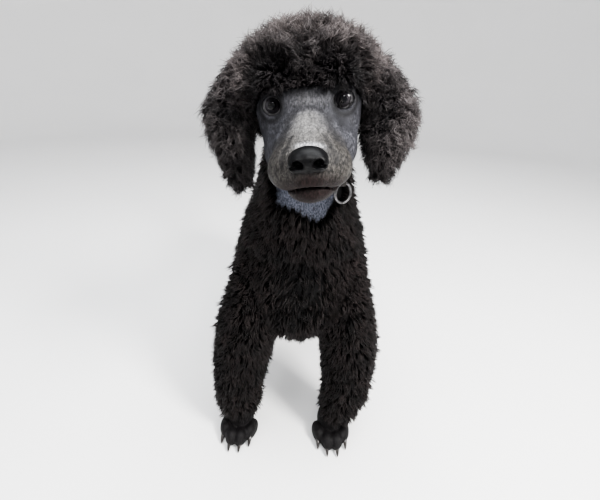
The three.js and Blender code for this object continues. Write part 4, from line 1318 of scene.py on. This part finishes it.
def build_stage():
    """A pale floor that curves up all round into a plain backdrop."""
    paint = Paint("studio_floor")
    color = paint.mix(paint.noise(3, 2), (0.76, 0.755, 0.75), (0.80, 0.795, 0.79))
    material = paint.finish(color, 0.85)
    profile = [(0.01, 0.0), (600.0, 0.0), (1600.0, 0.0), (FLOOR_RADIUS, 0.0)]
    for step in range(1, BEND_STEPS + 1):
        angle = math.pi / 2 * step / BEND_STEPS
        profile.append((FLOOR_RADIUS + FLOOR_BEND * math.sin(angle), FLOOR_BEND * (1 - math.cos(angle))))
    profile.append((FLOOR_RADIUS + FLOOR_BEND, FLOOR_BEND + BACKDROP_HEIGHT))
    points = []
    for radius, level in profile:
        for side in range(FLOOR_SIDES):
            angle = 2 * math.pi * side / FLOOR_SIDES
            points.append((radius * math.cos(angle), radius * math.sin(angle), level))
    faces = rows_of_quads(len(profile), FLOOR_SIDES)
    floor = mesh_object("studio_floor", np.array(points) - SHIFT, faces, material)


# Each light's place and aim in metres, its width and height, its watts and its colour
HEAD_AIM = (0, -0.2, 0.4)
LIGHTS = {
    "key": ((0.95, -0.95, 1.35), HEAD_AIM, (0.4, 0.4), 72, (1.0, 0.985, 0.96)),
    "top": ((0.05, -0.3, 1.9), (0, 0, 0.3), (1.4, 1.4), 75, (0.96, 0.98, 1.0)),
    "fill": ((-1.3, -0.9, 1.0), HEAD_AIM, (1.0, 1.2), 4, (0.93, 0.96, 1.0)),
    "lamp": ((0.02, -0.72, 0.84), HEAD_AIM, (0.1, 0.1), 3.2, (1.0, 1.0, 1.0)),
}
SKY_COLOR = (0.93, 0.95, 1.0, 1)
SKY_STRENGTH = 0.62


def build_lights():
    for name, (place, aim, size, power, color) in LIGHTS.items():
        data = bpy.data.lights.new(name, "AREA")
        data.shape = "RECTANGLE"
        data.size, data.size_y = size
        data.energy = power
        data.color = color
        light = bpy.data.objects.new(name, data)
        bpy.context.scene.collection.objects.link(light)
        light.location = place
        light.rotation_mode = "QUATERNION"
        light.rotation_quaternion = (Vector(aim) - Vector(place)).to_track_quat("-Z", "Y")
    world = bpy.data.worlds.new("studio")
    world.use_nodes = True
    background = world.node_tree.nodes["Background"]
    background.inputs["Color"].default_value = SKY_COLOR
    background.inputs["Strength"].default_value = SKY_STRENGTH
    bpy.context.scene.world = world
    bpy.context.scene.view_settings.view_transform = "AgX"
    bpy.context.scene.view_settings.look = "AgX - Medium High Contrast"


# Colours of the coat: at the root, at the tip, and at the tip where it is bleached and carries painted
# rim light
HEAD_HAIR = ((0.006, 0.0055, 0.006), (0.066, 0.058, 0.058), (0.25, 0.215, 0.21))
EAR_HAIR = ((0.005, 0.0045, 0.005), (0.038, 0.033, 0.033), (0.155, 0.137, 0.136))
BODY_HAIR = ((0.0035, 0.003, 0.003), (0.026, 0.0195, 0.019), (0.026, 0.0195, 0.019))
# The brow's colours are darker than the head's: painted shade under the topknot's overhang
BROW_HAIR = ((0.003, 0.0028, 0.0032), (0.034, 0.029, 0.030), (0.05, 0.043, 0.043))

build_camera()
build_stage()
build_lights()
skin, skin_points = skin_piece()
build_eyes()
build_nose()
build_claws()
build_collar()
build_ring()
body_hair = coat_material("coat_body", *BODY_HAIR)
build_topknot(coat_material("coat_head", *HEAD_HAIR))
build_brow(coat_material("coat_brow", *BROW_HAIR))
build_face(skin_points, skin.data.materials[0])
build_ears(coat_material("coat_ear", *EAR_HAIR))
build_body_coat(body_hair)
build_pompon(body_hair)
